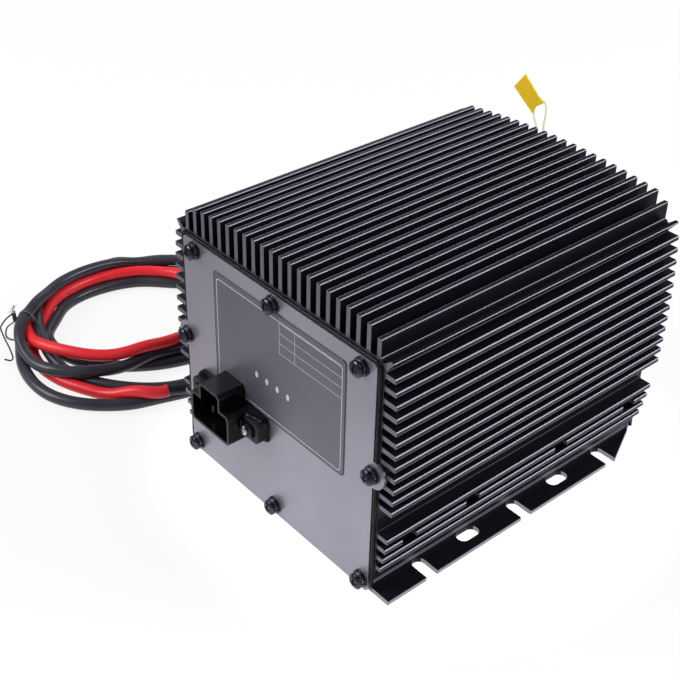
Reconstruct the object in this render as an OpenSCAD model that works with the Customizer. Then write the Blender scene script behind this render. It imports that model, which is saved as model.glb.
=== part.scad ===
/* [Housing] */
// Length of the extruded housing along Y
housing_length = 200.6; // [180:0.2:240]
// Width over the outer faces of the two side walls
housing_width = 155.2; // [150:0.2:175]
// Height of the outer face of the top wall
wall_top = 142.7; // [134:0.1:160]
// Thickness of the side walls and the top wall
wall_thickness = 4.2; // [3.4:0.1:5]
// Inset of the narrow foot of each side wall
foot_inset = 3.4; // [2:0.1:4]
// Height of the narrow foot of each side wall
foot_height = 6.6; // [5:0.1:9]

/* [Cooling fins] */
// Distance from one fin to the next
fin_pitch = 7; // [6.4:0.1:7.2]
// Thickness of a fin
fin_thickness = 2.7; // [2:0.1:3.2]
// Width of the flare at the root of a fin
fin_flare = 0.8; // [0.3:0.1:1.2]
// Number of fins on the top
top_fin_count = 22; // [16:2:22]
// Height of the middle top fins over the top wall
top_fin_height = 19.1; // [14:0.1:24]
// Fall of the row of tips from the middle to ten pitches out
top_crown = 5; // [0:0.1:8]
// Extra drop of the outermost top fins
end_fin_drop = 3.2; // [0:0.1:5]
// Number of upper fins on each side
upper_fin_count = 12; // [8:1:12]
// Number of lower fins on each side
lower_fin_count = 4; // [2:1:4]
// Distance from the top wall's outer face down to the first side fin
first_fin_drop = 5.5; // [5:0.1:8]
// Distance from the last upper fin down to the first lower fin
fin_gap = 19; // [15:0.5:20]
// Reach of the longest side fin from the wall
side_fin_reach = 10.1; // [7:0.1:12]
// Height at which the side fins are longest
crown_height = 92; // [80:1:110]
// Width of the gaps cut in one lower fin
notch_width = 9.6; // [6:0.1:12]
// Middles of the gaps cut in one lower fin
notch_places = [-84, -40, 27, 84];

/* [Mounting flanges] */
// Reach of a flange from the centre plane
flange_reach = 88; // [86:0.5:96]
// Thickness of the flanges and the floor
flange_thickness = 2.7; // [2.2:0.1:3.2]
// Distance between neighbouring slots
slot_spacing = 35; // [30:0.5:38]
// Width of the slots
slot_width = 7.8; // [6:0.1:8.2]
// Length of the closed slots
slot_length = 14; // [10:0.1:18]
// Distance from the foot of the wall to the inner edge of the slots
slot_margin = 0.4; // [0.2:0.1:1]
// Length of the corner cut along Y
corner_cut_length = 26; // [15:0.5:28]
// Depth of the corner cut along X
corner_cut_depth = 12.2; // [6:0.1:13]

/* [End plates] */
// Thickness of an end plate
plate_thickness = 1.75; // [1.2:0.05:3]
// Distance from the wall's outer face to the edge of a plate
plate_margin = 2.6; // [2:0.1:3]
// Radius of a plate's corners
plate_corner = 2.5; // [1:0.1:4]
// Gap between the ground and the lower edge of a plate
plate_clearance = 0.4; // [0.2:0.1:1]
// Thickness of the gasket behind a plate
gasket_thickness = 0.35; // [0.2:0.05:1]
// Distance from a plate's edge to the gasket's edge
gasket_inset = 0.8; // [0.4:0.1:1.5]

/* [Plate screws] */
// Radius of a screw's shank
screw_radius = 2.45; // [2:0.05:2.6]
// Length of a screw's shank below the head
screw_length = 16; // [12:0.5:25]
// Radius of a screw's head
head_radius = 4.3; // [3.8:0.1:4.8]
// Height of a screw's head
head_height = 3.3; // [2.4:0.1:4]
// Radius of a flat washer
washer_radius = 5; // [4.8:0.1:5.5]
// Thickness of a flat washer
washer_thickness = 1; // [0.6:0.1:1.4]
// Thickness of a split lock washer
lock_thickness = 1.3; // [1:0.1:1.6]
// Radius of a screw port inside the housing
port_radius = 5.2; // [5:0.1:5.6]
// Radius of the lug round each side screw
lug_radius = 8; // [7:0.1:9]
// Distance of the top screws from the side wall's outer face
top_screw_inset = 12.6; // [11:0.1:14]
// Distance of the top screws below the top wall's outer face
top_screw_drop = 8.2; // [7.9:0.1:8.6]
// Distance of the side screws from the side wall's outer face
side_screw_inset = 2.8; // [2:0.1:3.4]
// Height of the side screws
side_screw_height = 77.5; // [70:0.5:84]
// Distance of the bottom screws from the side wall's outer face
bottom_screw_inset = 7.9; // [7.9:0.1:8.6]
// Height of the bottom screws
bottom_screw_height = 6; // [5.8:0.1:6.6]

/* [Front label and indicators] */
// Left edge of the label
label_left = -48.5; // [-52:0.5:-40]
// Right edge of the label
label_right = 54.8; // [40:0.1:60]
// Lower edge of the label
label_bottom = 62.4; // [62:0.1:66]
// Upper edge of the label
label_top = 131; // [120:0.5:132]
// Thickness of the label
label_thickness = 0.3; // [0.2:0.05:0.5]
// Middle of the row of indicators
indicator_x = -0.5; // [-4:0.5:4]
// Height of the row of indicators
indicator_height = 85.4; // [80:0.1:95]
// Distance between indicators
indicator_spacing = 8.4; // [7:0.1:10]
// Width of an indicator lens
lens_width = 2.2; // [1.6:0.1:3]
// Length of an indicator lens
lens_length = 3.6; // [3.2:0.1:5]
// Depth of the air gap between the plate and the indicator board
indicator_gap = 6; // [5:0.5:9]

/* [Mains inlet] */
// Middle of the inlet
inlet_x = -33.3; // [-36:0.1:-30]
// Lower edge of the mouth
mouth_bottom = 45.2; // [42:0.1:48]
// Width of the lower part of the mouth
mouth_width = 30.1; // [26:0.1:32]
// Height of the lower part of the mouth
mouth_height = 15.8; // [14:0.1:17]
// Width of the raised part of the mouth
crest_width = 15.1; // [12:0.1:18]
// Height of the raised part of the mouth
crest_height = 9.1; // [8:0.1:10]
// Radius of the mouth's corners
mouth_corner = 1.6; // [0.8:0.1:2]
// Wall of the shroud
shroud_wall = 1.6; // [1.2:0.1:2]
// Distance from the plate to the rim of the shroud
shroud_reach = 16.8; // [14:0.1:20]
// Depth of the mouth
mouth_depth = 14; // [12:0.1:15]
// Width over the ears of the inlet
ear_span = 51.2; // [50:0.1:54]
// Height of an ear
ear_height = 8.3; // [7.4:0.1:10]
// Thickness of an ear
ear_thickness = 1.8; // [1.2:0.1:2.4]
// Thickness of the block behind the ears
block_thickness = 7; // [5:0.1:8]
// Width of the block behind the ears
block_width = 58; // [56:0.5:60]
// Height of the block behind the ears
block_height = 13; // [12:0.1:13.5]
// Distance between the two screws of the inlet
inlet_screw_spacing = 40; // [39.5:0.1:41]
// Radius of the inlet's screws
inlet_screw_radius = 1.45; // [1.2:0.05:1.5]
// Width of a contact blade
blade_width = 4; // [3:0.1:4.5]
// Thickness of a contact blade
blade_thickness = 2; // [1.5:0.1:2.2]
// Distance between the live and neutral blades
blade_spacing = 14; // [13:0.1:15]

/* [Boards] */
// Height of the space below the main board
standoff_height = 13.3; // [12:0.1:16]
// Thickness of a circuit board
board_thickness = 1.6; // [1:0.1:2.4]
// Width of the main board
board_width = 138; // [130:1:140]
// Length of the main board
board_length = 172; // [168:1:176]
// Distance of the board's screws from its edges
board_screw_inset = 7; // [6:0.5:9]

/* [Power parts] */
// Width and height of the transformer core
core_size = 56; // [52:1:60]
// Depth of the transformer core
core_depth = 21; // [16:1:24]
// Thickness of the core's yokes and outer legs
yoke = 9; // [8:0.5:10]
// Width of the core's middle leg
middle_leg = 18; // [14:1:20]
// Outer radius of the output choke's core
choke_radius = 18; // [15:0.5:20]
// Radius of a bulk capacitor
bulk_radius = 15; // [11:0.5:16]
// Height of a bulk capacitor
bulk_height = 45; // [30:1:60]
// Radius of an output capacitor
output_cap_radius = 8; // [6:0.5:8.5]
// Height of an output capacitor
output_cap_height = 32; // [20:1:40]
// Width of a power device
device_width = 16; // [14:0.5:16]
// Height of a power device
device_height = 21; // [18:0.5:24]
// Thickness of a power device
device_thickness = 5; // [4:0.1:5.2]
// Thickness of a heat pad
pad_thickness = 0.4; // [0.2:0.1:1]
// Height of the middle of the power devices over the board
device_lift = 28; // [26:1:34]

/* [Leads] */
// Diameter of a lead
lead_diameter = 7.5; // [6:0.1:7.6]
// Height of the lead exits over the floor's underside
exit_height = 27; // [26:0.5:30]
// Distance between lead exits
exit_spacing = 16; // [15:0.5:17]
// Length of a strain relief outside the plate
relief_length = 26; // [20:0.5:30]
// Radius of a strain relief at the plate
relief_radius = 6.6; // [6:0.1:7]
// Radius of the tip of a strain relief
relief_tip = 4.9; // [4.5:0.1:5.2]
// Inner radius of the coil of leads
coil_inner = 44; // [40:1:46]
// Outer radius of the coil of leads
coil_outer = 88; // [85:1:90]
// Height of the coil of leads
coil_height = 18; // [14:0.1:20]
// Radius of the sleeve on a terminal's barrel
sleeve_radius = 3.3; // [3:0.1:3.7]
// Length of the sleeve on a terminal's barrel
sleeve_length = 20; // [16:0.5:22]
// Radius of a ring terminal's tongue
tongue_radius = 8; // [6.5:0.1:8.2]
// Thickness of a ring terminal's tongue
tongue_thickness = 1.8; // [1:0.1:2.4]
// Radius of the bolt hole in a ring terminal
bolt_hole_radius = 4.2; // [3:0.1:4.5]

/* [Tag] */
// Thickness of the tag
tag_thickness = 0.8; // [0.4:0.1:1.2]
// Radius of the tag's string
string_radius = 0.6; // [0.4:0.1:0.7]

/* [Hidden] */
$fn = 48;
slip = 0.1;
seat_gap = 0.3;
half_l = housing_length / 2;
half_w = housing_width / 2;
foot_x = half_w - foot_inset;
inner_x = half_w - wall_thickness;
inner_foot_x = foot_x - wall_thickness;
inner_top = wall_top - wall_thickness;
plate_x = half_w - plate_margin;
plate_top = wall_top - plate_margin;
plate_back = half_l + gasket_thickness;
plate_front = plate_back + plate_thickness;
stack_height = washer_thickness + lock_thickness;
hole_radius = screw_radius + 0.05;
top_screw_x = half_w - top_screw_inset;
top_screw_z = wall_top - top_screw_drop;
side_screw_x = half_w - side_screw_inset;
bottom_screw_x = half_w - bottom_screw_inset;
bottom_port_radius = min(port_radius, foot_x - bottom_screw_x);
upper_screws = [[-top_screw_x, top_screw_z], [0, top_screw_z], [top_screw_x, top_screw_z]];
side_screws = [[-side_screw_x, side_screw_height], [side_screw_x, side_screw_height]];
lower_screws = [[-bottom_screw_x, bottom_screw_height], [0, bottom_screw_height],
    [bottom_screw_x, bottom_screw_height]];
plate_screw_places = concat(upper_screws, side_screws, lower_screws);
first_fin_z = wall_top - first_fin_drop;
last_upper_z = first_fin_z - (upper_fin_count - 1) * fin_pitch;
first_lower_z = last_upper_z - fin_gap;
slot_inner_x = foot_x + slot_margin;
slot_middle_x = slot_inner_x + slot_width / 2;
crest_top = mouth_bottom + mouth_height + crest_height;
inlet_middle_z = mouth_bottom + mouth_height / 2 + 0.6;
ear_back = plate_front + block_thickness;
ear_front = ear_back + ear_thickness;
shroud_front = plate_front + shroud_reach;
mouth_floor = shroud_front - mouth_depth;
inlet_body_back = plate_back - 8;
blade_tip = shroud_front - 7;
earth_blade_z = mouth_bottom + mouth_height + 1;
live_blade_z = mouth_bottom + 6;
board_bottom = flange_thickness + standoff_height;
board_top = board_bottom + board_thickness;
device_x = inner_x - pad_thickness - device_thickness;
device_z = board_top + device_lift;
indicator_places = [for (i = [-1.5:1:1.5]) indicator_x + i * indicator_spacing];
lamp_face = plate_back - indicator_gap;
coil_outer_middle = [-187, -64];
coil_inner_middle = [-200, -56];
bore_gap = 0.25;
exit_middle = -36;
exit_places = [exit_middle - exit_spacing, exit_middle, exit_middle + exit_spacing];
block_face = board_length / 2 - 2;
lead_radius = lead_diameter / 2;
red_end = [-114, -93.5, 11.3];
red_heading = 63;
black_end = [-112, -48, lead_radius];
black_heading = 92;
plug_radius = 5;
plug_length = 26;
signal_end = [-153.6, -19.8, 2 * lead_radius + plug_radius];
signal_heading = 130;
black_route = [[-52, 84, 27], [-52, 104, 27], [-52, 126, 27], [-52, 132, 27], [-53, 143, 24],
    [-57, 153, 16], [-67, 160, 8], [-81, 160, 4], [-96, 152, 4], [-108, 139, 4], [-118, 122, 4],
    [-127, 105, 4], [-136, 88, 4], [-146, 71, 4], [-157, 54, 4], [-170, 38, 4], [-184, 23, 4], [-199, 8, 4]];
red_route = [[-36, 84, 27], [-36, 104, 27], [-36, 126, 27], [-36, 132, 27], [-38, 145, 24], [-43, 157, 16],
    [-54, 168, 8], [-71, 172, 4], [-90, 166, 4], [-106, 154, 4], [-119, 139, 4], [-130, 122, 4],
    [-140, 104, 4], [-150, 86, 4], [-161, 68, 4], [-174, 51, 4], [-189, 35, 4], [-204, 19, 4], [-218, 2, 4]];
signal_route = [[-20, 84, 27], [-20, 104, 27], [-20, 126, 27], [-20, 132, 27], [-22, 146, 24],
    [-29, 161, 16], [-43, 175, 8], [-62, 182, 4], [-83, 179, 4], [-102, 169, 4], [-118, 155, 4],
    [-131, 139, 4], [-142, 122, 4], [-152, 106, 4], [-163, 90, 4], [-177, 74, 4], [-194, 59, 4],
    [-212, 43, 4], [-229, 25, 4], [-243, 4, 4], [-249, -8, 4]];
tag_back = 98.4;
string_y = tag_back + string_radius;
string_route = [[-19.6, string_y, 170.9], [-19.4, string_y, 168.6], [-19, 99.6, 165.9], [-18.9, 101.3, 162.6],
    [-18.5, 101.8, 158], [-17.4, 103, 152], [-15.2, 103.4, 146], [-12, 103.5, 141.4], [-8.6, 103.2, 138.2],
    [-6.2, 103.1, 134.5], [-5.4, 103.1, 131.4], [-3.1, 103.1, 129.1], [0, 103.1, 128.3], [3.1, 103.1, 129.1],
    [5.4, 103.1, 131.4], [6.2, 103.1, 134.5], [5.2, 103.1, 138.1], [1.8, 103.2, 140.9], [-5, 103.3, 142.6],
    [-10, 103.2, 146], [-12.8, 103, 152], [-13.9, 102, 158.5], [-13.5, 101.4, 162], [-12.6, 100.3, 165.6],
    [-11.4, 99.4, 171.4], [-11.2, string_y, 176], [-12.6, string_y, 178.9], [-15.4, string_y, 179.2],
    [-18.4, string_y, 177], [-20, string_y, 174.6], [-20.3, string_y, 172.6]];
tag_outline = [[-27.5, 190.7], [-34.7, 181.1], [-19.2, 170], [-17.7, 174.6], [-12, 178.9], [-15.8, 180.7]];

function unit(v) = v / norm(v);
function heading_at(path, i) =
    unit(path[min(i + 1, len(path) - 1)] - path[max(i - 1, 0)]);
function side_at(path, i) =
    let (h = heading_at(path, i), up = abs(h[2]) > 0.9 ? [1, 0, 0] : [0, 0, 1]) unit(cross(h, up));
function ring_at(path, i, radius, sides) =
    let (s = side_at(path, i), t = cross(s, heading_at(path, i)))
    [for (k = [0:sides - 1]) path[i] + radius * (cos(360 * k / sides) * s + sin(360 * k / sides) * t)];
function crown_drop(x) = top_crown * pow(x / (10 * fin_pitch), 2);
function side_drop(z) = z > crown_height ? 2.9 * pow((z - crown_height) / 46, 2)
    : 6.4 * pow((crown_height - z) / 72, 2.6);
function side_tip(z) = half_w + side_fin_reach - side_drop(z);
function first_fin_x() = -(top_fin_count - 1) * fin_pitch / 2;

// A round tube swept along a list of points
module swept_tube(path, radius, sides) {
    last = len(path) - 1;
    points = [for (i = [0:last]) each ring_at(path, i, radius, sides)];
    walls = [for (i = [0:last - 1], k = [0:sides - 1])
        let (a = i * sides, b = (k + 1) % sides) each [[a + k, a + b, a + sides + b],
            [a + k, a + sides + b, a + sides + k]]];
    start_cap = [for (k = [1:sides - 2]) [0, k + 1, k]];
    end_cap = [for (k = [1:sides - 2]) [last * sides, last * sides + k, last * sides + k + 1]];
    polyhedron(points, concat(walls, start_cap, end_cap));
}

// Turns a drawing in X and Z into a solid from one Y to another
module along_y(from, to) {
    translate([0, to, 0]) rotate([90, 0, 0]) linear_extrude(to - from) children();
}

module rounded_panel(left, bottom, right, top, radius) {
    translate([left + radius, bottom]) square([right - left - 2 * radius, top - bottom]);
    translate([left, bottom + radius]) square([right - left, top - bottom - 2 * radius]);
    for (x = [left + radius, right - radius], z = [bottom + radius, top - radius])
        translate([x, z]) circle(radius);
}

module rounded_block(size, radius) {
    linear_extrude(size[2])
        rounded_panel(-size[0] / 2, -size[1] / 2, size[0] / 2, size[1] / 2, radius);
}

// One fin standing on the line z = 0, with a flared root
module fin_section(height) {
    t = fin_thickness / 2;
    polygon([[-t - fin_flare, -0.6], [-t - fin_flare, 0], [-t, fin_flare], [-t, height], [t, height],
        [t, fin_flare], [t + fin_flare, 0], [t + fin_flare, -0.6]]);
}

module top_fins() {
    for (i = [0:top_fin_count - 1]) {
        x = first_fin_x() + i * fin_pitch;
        drop = i == 0 || i == top_fin_count - 1 ? end_fin_drop : 0;
        translate([x, wall_top]) fin_section(top_fin_height - crown_drop(x) - drop);
    }
}

module side_fin(top_z) {
    translate([half_w, top_z - fin_thickness / 2]) rotate(-90) fin_section(side_tip(top_z) - half_w);
}

module side_fins() {
    for (k = [0:upper_fin_count - 1]) side_fin(first_fin_z - k * fin_pitch);
    for (k = [0:lower_fin_count - 1]) side_fin(first_lower_z - k * fin_pitch);
    translate([half_w, wall_top])
        polygon([[-2.5, -1], [-0.4, -1], [3.7, 2.4], [5.9, 1.8], [1.2, -4.2], [-1.5, -5]]);
}

module port_circles(places, radius) {
    for (p = places) translate(p) circle(radius);
}

module ports() {
    port_circles(upper_screws, port_radius);
    port_circles(side_screws, lug_radius);
    port_circles([lower_screws[0], lower_screws[2]], bottom_port_radius);
    port_circles([lower_screws[1]], port_radius);
}

module outer_section() {
    polygon([[-foot_x, 0], [-foot_x, foot_height], [-half_w, foot_height + foot_inset],
        [-half_w, wall_top - 3], [-half_w + 3, wall_top], [half_w - 3, wall_top], [half_w, wall_top - 3],
        [half_w, foot_height + foot_inset], [foot_x, foot_height], [foot_x, 0]]);
}

module cavity_section() {
    difference() {
        polygon([[-inner_foot_x, flange_thickness], [-inner_foot_x, foot_height + wall_thickness / 2],
            [-inner_x, foot_height + foot_inset + wall_thickness / 2], [-inner_x, inner_top - 2],
            [-inner_x + 2, inner_top], [inner_x - 2, inner_top], [inner_x, inner_top - 2],
            [inner_x, foot_height + foot_inset + wall_thickness / 2],
            [inner_foot_x, foot_height + wall_thickness / 2], [inner_foot_x, flange_thickness]]);
        ports();
    }
}

module slot_cuts() {
    for (k = [-2, 0, 2]) translate([slot_middle_x, k * slot_spacing, -1]) {
        cylinder(h = flange_thickness + 2, r = slot_width / 2);
        translate([0, -slot_width / 2, 0]) cube([flange_reach, slot_width, flange_thickness + 2]);
    }
    for (k = [-1, 1]) translate([slot_middle_x, k * slot_spacing, -1]) {
        run = (slot_length - slot_width) / 2;
        for (s = [-run, run]) translate([0, s, 0]) cylinder(h = flange_thickness + 2, r = slot_width / 2);
        translate([-slot_width / 2, -run, 0]) cube([slot_width, 2 * run, flange_thickness + 2]);
    }
    translate([flange_reach, half_l, -1]) linear_extrude(flange_thickness + 2)
        polygon([[-corner_cut_depth, 1], [-corner_cut_depth, 0], [0, -corner_cut_length], [1, 0], [1, 1]]);
}

module notch_cuts() {
    z = first_lower_z - fin_pitch;
    for (y = notch_places)
        translate([half_w, y - notch_width / 2, z - fin_thickness - fin_flare - 0.5])
            cube([side_fin_reach + 5, notch_width, fin_thickness + 2 * fin_flare + 1]);
}

module housing() {
    color([0.09, 0.09, 0.11]) difference() {
        union() {
            along_y(-half_l, half_l) difference() {
                union() {
                    outer_section();
                    top_fins();
                    side_fins();
                    mirror([1, 0]) side_fins();
                }
                cavity_section();
            }
            translate([-flange_reach, -half_l, 0]) cube([2 * flange_reach, housing_length, flange_thickness]);
            for (p = side_screws) translate([p[0], half_l, p[1]]) rotate([90, 0, 0])
                cylinder(h = housing_length, r = lug_radius);
        }
        for (p = plate_screw_places) translate([p[0], half_l + 1, p[1]]) rotate([90, 0, 0])
            cylinder(h = housing_length + 2, r = hole_radius);
        slot_cuts();
        rotate([0, 0, 180]) slot_cuts();
        notch_cuts();
        rotate([0, 0, 180]) notch_cuts();
        clamp_holes();
        foot_holes();
    }
}

// Blind holes in the side walls for the clamp bars' screws
module clamp_holes() {
    for (s = [-1, 1], y = clamp_screw_places) translate([s * (inner_x - 1), y, device_z + clamp_rise])
        rotate([0, s * 90, 0]) cylinder(h = clamp_grip + 1.4, r = clamp_screw_radius + 0.05, $fn = 24);
}

// Round seats pressed up from the floor for the board's standoffs
module foot_holes() {
    for (p = board_screw_places) translate([p[0], p[1], flange_thickness - 1])
        cylinder(h = 2, r = standoff_radius - 1);
}

module plate_section(inset) {
    rounded_panel(-plate_x + inset, plate_clearance + inset, plate_x - inset, plate_top - inset,
        plate_corner);
    port_circles(side_screws, lug_radius - inset);
}

module plate_holes() {
    port_circles(plate_screw_places, screw_radius + 0.3);
}

module lens_section(grow) {
    for (x = indicator_places) translate([x, indicator_height]) {
        run = (lens_length - lens_width) / 2;
        for (s = [-run, run]) translate([0, s]) circle(lens_width / 2 + grow, $fn = 24);
        translate([-lens_width / 2 - grow, -run]) square([lens_width + 2 * grow, 2 * run]);
    }
}

module mouth_section(grow) {
    left = inlet_x - mouth_width / 2;
    right = inlet_x + mouth_width / 2;
    rounded_panel(left - grow, mouth_bottom - grow, right + grow, mouth_bottom + mouth_height + grow,
        mouth_corner + grow / 2);
    rounded_panel(inlet_x - crest_width / 2 - grow, mouth_bottom + 4, inlet_x + crest_width / 2 + grow,
        crest_top + grow, mouth_corner + grow / 2);
}

module inlet_screw_section(radius) {
    for (s = [-1, 1]) translate([inlet_x + s * inlet_screw_spacing / 2, inlet_middle_z])
        circle(radius, $fn = 24);
}

module front_plate() {
    color([0.5, 0.49, 0.53]) along_y(-plate_front, -plate_back) difference() {
        plate_section(0);
        plate_holes();
        lens_section(slip);
        mouth_section(shroud_wall + slip);
        inlet_screw_section(inlet_screw_radius + slip);
        post_section(post_radius / 2);
    }
}

module rear_plate() {
    color([0.5, 0.49, 0.53]) along_y(plate_back, plate_front) difference() {
        plate_section(0);
        plate_holes();
        for (x = exit_places) translate([x, exit_height]) circle(relief_neck);
    }
}

module gasket_ring() {
    difference() {
        plate_section(gasket_inset);
        cavity_section();
        plate_holes();
    }
}

module front_gasket() {
    color([0.05, 0.05, 0.06]) along_y(-plate_back, -half_l) gasket_ring();
}

module rear_gasket() {
    color([0.05, 0.05, 0.06]) along_y(half_l, plate_back) gasket_ring();
}

// A pan-head screw with its head's seat at the origin and its tip towards -Z
module pan_screw(shank, shank_length, head, height, recess) {
    difference() {
        union() {
            translate([0, 0, -shank_length]) cylinder(h = shank_length + 0.1, r = shank, $fn = 24);
            rotate_extrude($fn = 32) intersection() {
                translate([0, height - head * 1.6]) circle(head * 1.6);
                square([head, height]);
            }
        }
        for (a = [0, 90]) rotate([0, 0, a])
            translate([-recess, -recess / 6, height * 0.45]) cube([2 * recess, recess / 3, height]);
    }
}

module at_plate_screws(end, depth) {
    for (p = plate_screw_places) translate([p[0], end * depth, p[1]]) rotate([-end * 90, 0, 0]) children();
}

module front_plate_screws() {
    color([0.1, 0.1, 0.1]) at_plate_screws(-1, plate_front + stack_height)
        pan_screw(screw_radius, screw_length, head_radius, head_height, head_radius * 0.55);
}

module rear_plate_screws() {
    color([0.1, 0.1, 0.1]) at_plate_screws(1, plate_front + stack_height)
        pan_screw(screw_radius, screw_length, head_radius, head_height, head_radius * 0.55);
}

module lock_washer() {
    difference() {
        cylinder(h = lock_thickness, r = head_radius + 0.1, $fn = 32);
        translate([0, 0, -1]) cylinder(h = lock_thickness + 2, r = screw_radius + 0.2, $fn = 32);
        translate([0, -0.4, -1]) cube([2 * head_radius, 0.8, lock_thickness + 2]);
    }
}

module lock_washers() {
    color([0.12, 0.12, 0.12]) for (end = [-1, 1]) at_plate_screws(end, plate_front + washer_thickness)
        lock_washer();
}

module flat_washers() {
    color([0.12, 0.12, 0.12]) for (end = [-1, 1]) at_plate_screws(end, plate_front) difference() {
        cylinder(h = washer_thickness, r = washer_radius, $fn = 32);
        translate([0, 0, -1]) cylinder(h = washer_thickness + 2, r = screw_radius + 0.2, $fn = 32);
    }
}

module front_label() {
    color([0.35, 0.34, 0.38]) along_y(-plate_front - label_thickness, -plate_front) difference() {
        rounded_panel(label_left, label_bottom, label_right, label_top, 3);
        lens_section(slip);
        mouth_section(shroud_wall + 3 * slip);
        port_circles(upper_screws, washer_radius + seat_gap);
    }
}

module indicator_lenses() {
    color([0.9, 0.9, 0.92]) along_y(-plate_front - label_thickness - 0.2, -plate_back + 0.4)
        lens_section(0);
}

post_radius = 2.5;
post_places = [indicator_x - 2.4 * indicator_spacing, indicator_x + 2.4 * indicator_spacing];

module post_section(radius) {
    for (x = post_places) translate([x, indicator_height]) circle(radius, $fn = 24);
}

module indicator_posts() {
    color([0.85, 0.85, 0.8]) {
        along_y(-plate_back, -lamp_face) post_section(post_radius);
        along_y(-plate_front, -plate_back) post_section(post_radius / 2 - slip / 2);
        along_y(-lamp_face, -lamp_face + board_thickness + 1) post_section(post_radius / 2 - slip / 2);
    }
}

module indicator_board() {
    reach = 2.4 * indicator_spacing + 4;
    color([0.1, 0.35, 0.15]) along_y(-lamp_face, -lamp_face + board_thickness) difference() {
        rounded_panel(indicator_x - reach, indicator_height - 6, indicator_x + reach, indicator_height + 6, 1);
        post_section(post_radius / 2);
    }
}

module indicator_lamps() {
    lamp = indicator_gap - 0.4 - seat_gap;
    color([0.8, 0.9, 0.8]) for (x = indicator_places)
        translate([x, -lamp_face, indicator_height]) rotate([90, 0, 0]) {
            cylinder(h = 1, r = 1.9, $fn = 24);
            cylinder(h = lamp - 1.5, r = 1.5, $fn = 24);
            translate([0, 0, lamp - 1.5]) intersection() {
                sphere(1.5, $fn = 24);
                translate([-2, -2, 0]) cube(4);
            }
        }
}

module ear_section() {
    z = inlet_middle_z;
    rounded_panel(inlet_x - ear_span / 2, z - ear_height / 2, inlet_x + ear_span / 2, z + ear_height / 2, 2.4);
}

module blade_section(grow) {
    for (s = [-1, 1]) translate([inlet_x + s * blade_spacing / 2, live_blade_z])
        square([blade_thickness + 2 * grow, blade_width + 2 * grow], center = true);
    translate([inlet_x, earth_blade_z])
        square([blade_thickness + 2 * grow, blade_width + 2 * grow], center = true);
}

module inlet_body() {
    color([0.07, 0.07, 0.08]) difference() {
        union() {
            along_y(-shroud_front, -inlet_body_back) mouth_section(shroud_wall);
            along_y(-ear_front, -ear_back) ear_section();
        }
        along_y(-shroud_front - 1, -mouth_floor) mouth_section(0);
        along_y(-ear_front - 1, -ear_back + 1) inlet_screw_section(inlet_screw_radius + slip);
        along_y(-shroud_front, -inlet_body_back + 1) blade_section(0.02);
    }
}

module inlet_spacers() {
    z = inlet_middle_z;
    color([0.05, 0.05, 0.06]) along_y(-ear_back, -plate_front) difference() {
        rounded_panel(inlet_x - block_width / 2, z - block_height / 2, inlet_x + block_width / 2,
            z + block_height / 2, 3);
        mouth_section(shroud_wall + slip);
        inlet_screw_section(inlet_screw_radius + slip);
    }
}

module inlet_blades() {
    color([0.8, 0.75, 0.6]) along_y(-blade_tip, -inlet_body_back + 7) blade_section(0);
}

module inlet_screws() {
    grip = block_thickness + ear_thickness + plate_thickness + 4;
    color([0.75, 0.75, 0.78]) for (s = [-1, 1])
        translate([inlet_x + s * inlet_screw_spacing / 2, -ear_front, inlet_middle_z]) rotate([90, 0, 0])
            pan_screw(inlet_screw_radius, grip, 2.9, 2.2, 1.6);
}

module inlet_nuts() {
    color([0.7, 0.7, 0.72]) for (s = [-1, 1])
        translate([inlet_x + s * inlet_screw_spacing / 2, -plate_back, inlet_middle_z])
            rotate([-90, 0, 0]) difference() {
                cylinder(h = 2.4, r = 3.1, $fn = 6);
                translate([0, 0, -1]) cylinder(h = 5, r = inlet_screw_radius + 0.05, $fn = 24);
            }
}

standoff_radius = 3.6;
board_screw_x = board_width / 2 - board_screw_inset;
board_screw_y = board_length / 2 - board_screw_inset;
board_screw_places = [for (x = [-board_screw_x, board_screw_x], y = [-board_screw_y, board_screw_y]) [x, y]];

module main_board() {
    color([0.1, 0.35, 0.15]) translate([0, 0, board_bottom]) difference() {
        translate([-board_width / 2, -board_length / 2, 0])
            cube([board_width, board_length, board_thickness]);
        for (p = board_screw_places) translate([p[0], p[1], -1]) cylinder(h = 5, r = 1.7, $fn = 24);
    }
}

module board_standoffs() {
    color([0.8, 0.7, 0.4]) for (p = board_screw_places) translate([p[0], p[1], flange_thickness - 1])
        difference() {
            union() {
                cylinder(h = standoff_height + 1, r = standoff_radius - 1 - slip);
                translate([0, 0, 1]) rotate([0, 0, 30])
                    cylinder(h = standoff_height, r = standoff_radius, $fn = 6);
            }
            translate([0, 0, standoff_height + 1 - 8]) cylinder(h = 9, r = 1.55, $fn = 24);
        }
}

module board_screws() {
    color([0.75, 0.75, 0.78]) for (p = board_screw_places) translate([p[0], p[1], board_top])
        pan_screw(1.5, 7, 2.9, 2.2, 1.6);
}

transformer_place = [14, 4];

module transformer_core() {
    window = (core_size - middle_leg - 2 * yoke) / 2;
    color([0.2, 0.2, 0.21]) translate([transformer_place[0], transformer_place[1], board_top])
        along_y(-core_depth / 2, core_depth / 2) difference() {
            translate([-core_size / 2, 0]) square([core_size, core_size]);
            for (s = [-1, 1]) translate([s * (middle_leg + window) / 2 - window / 2, yoke])
                square([window, core_size - 2 * yoke]);
        }
}

module bobbin_ring(size_x, size_y, bottom, height) {
    translate([0, 0, bottom]) difference() {
        rounded_block([size_x, size_y, height], 2);
        translate([-middle_leg / 2 - slip, -core_depth / 2 - slip, -1])
            cube([middle_leg + 2 * slip, core_depth + 2 * slip, height + 2]);
    }
}

module transformer_bobbin() {
    window = (core_size - middle_leg - 2 * yoke) / 2;
    width = middle_leg + 2 * window - 0.4;
    color([0.15, 0.15, 0.15]) translate([transformer_place[0], transformer_place[1], board_top])
        for (z = [yoke, core_size - yoke - 2]) bobbin_ring(width, core_depth + 20, z, 2);
}

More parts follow.
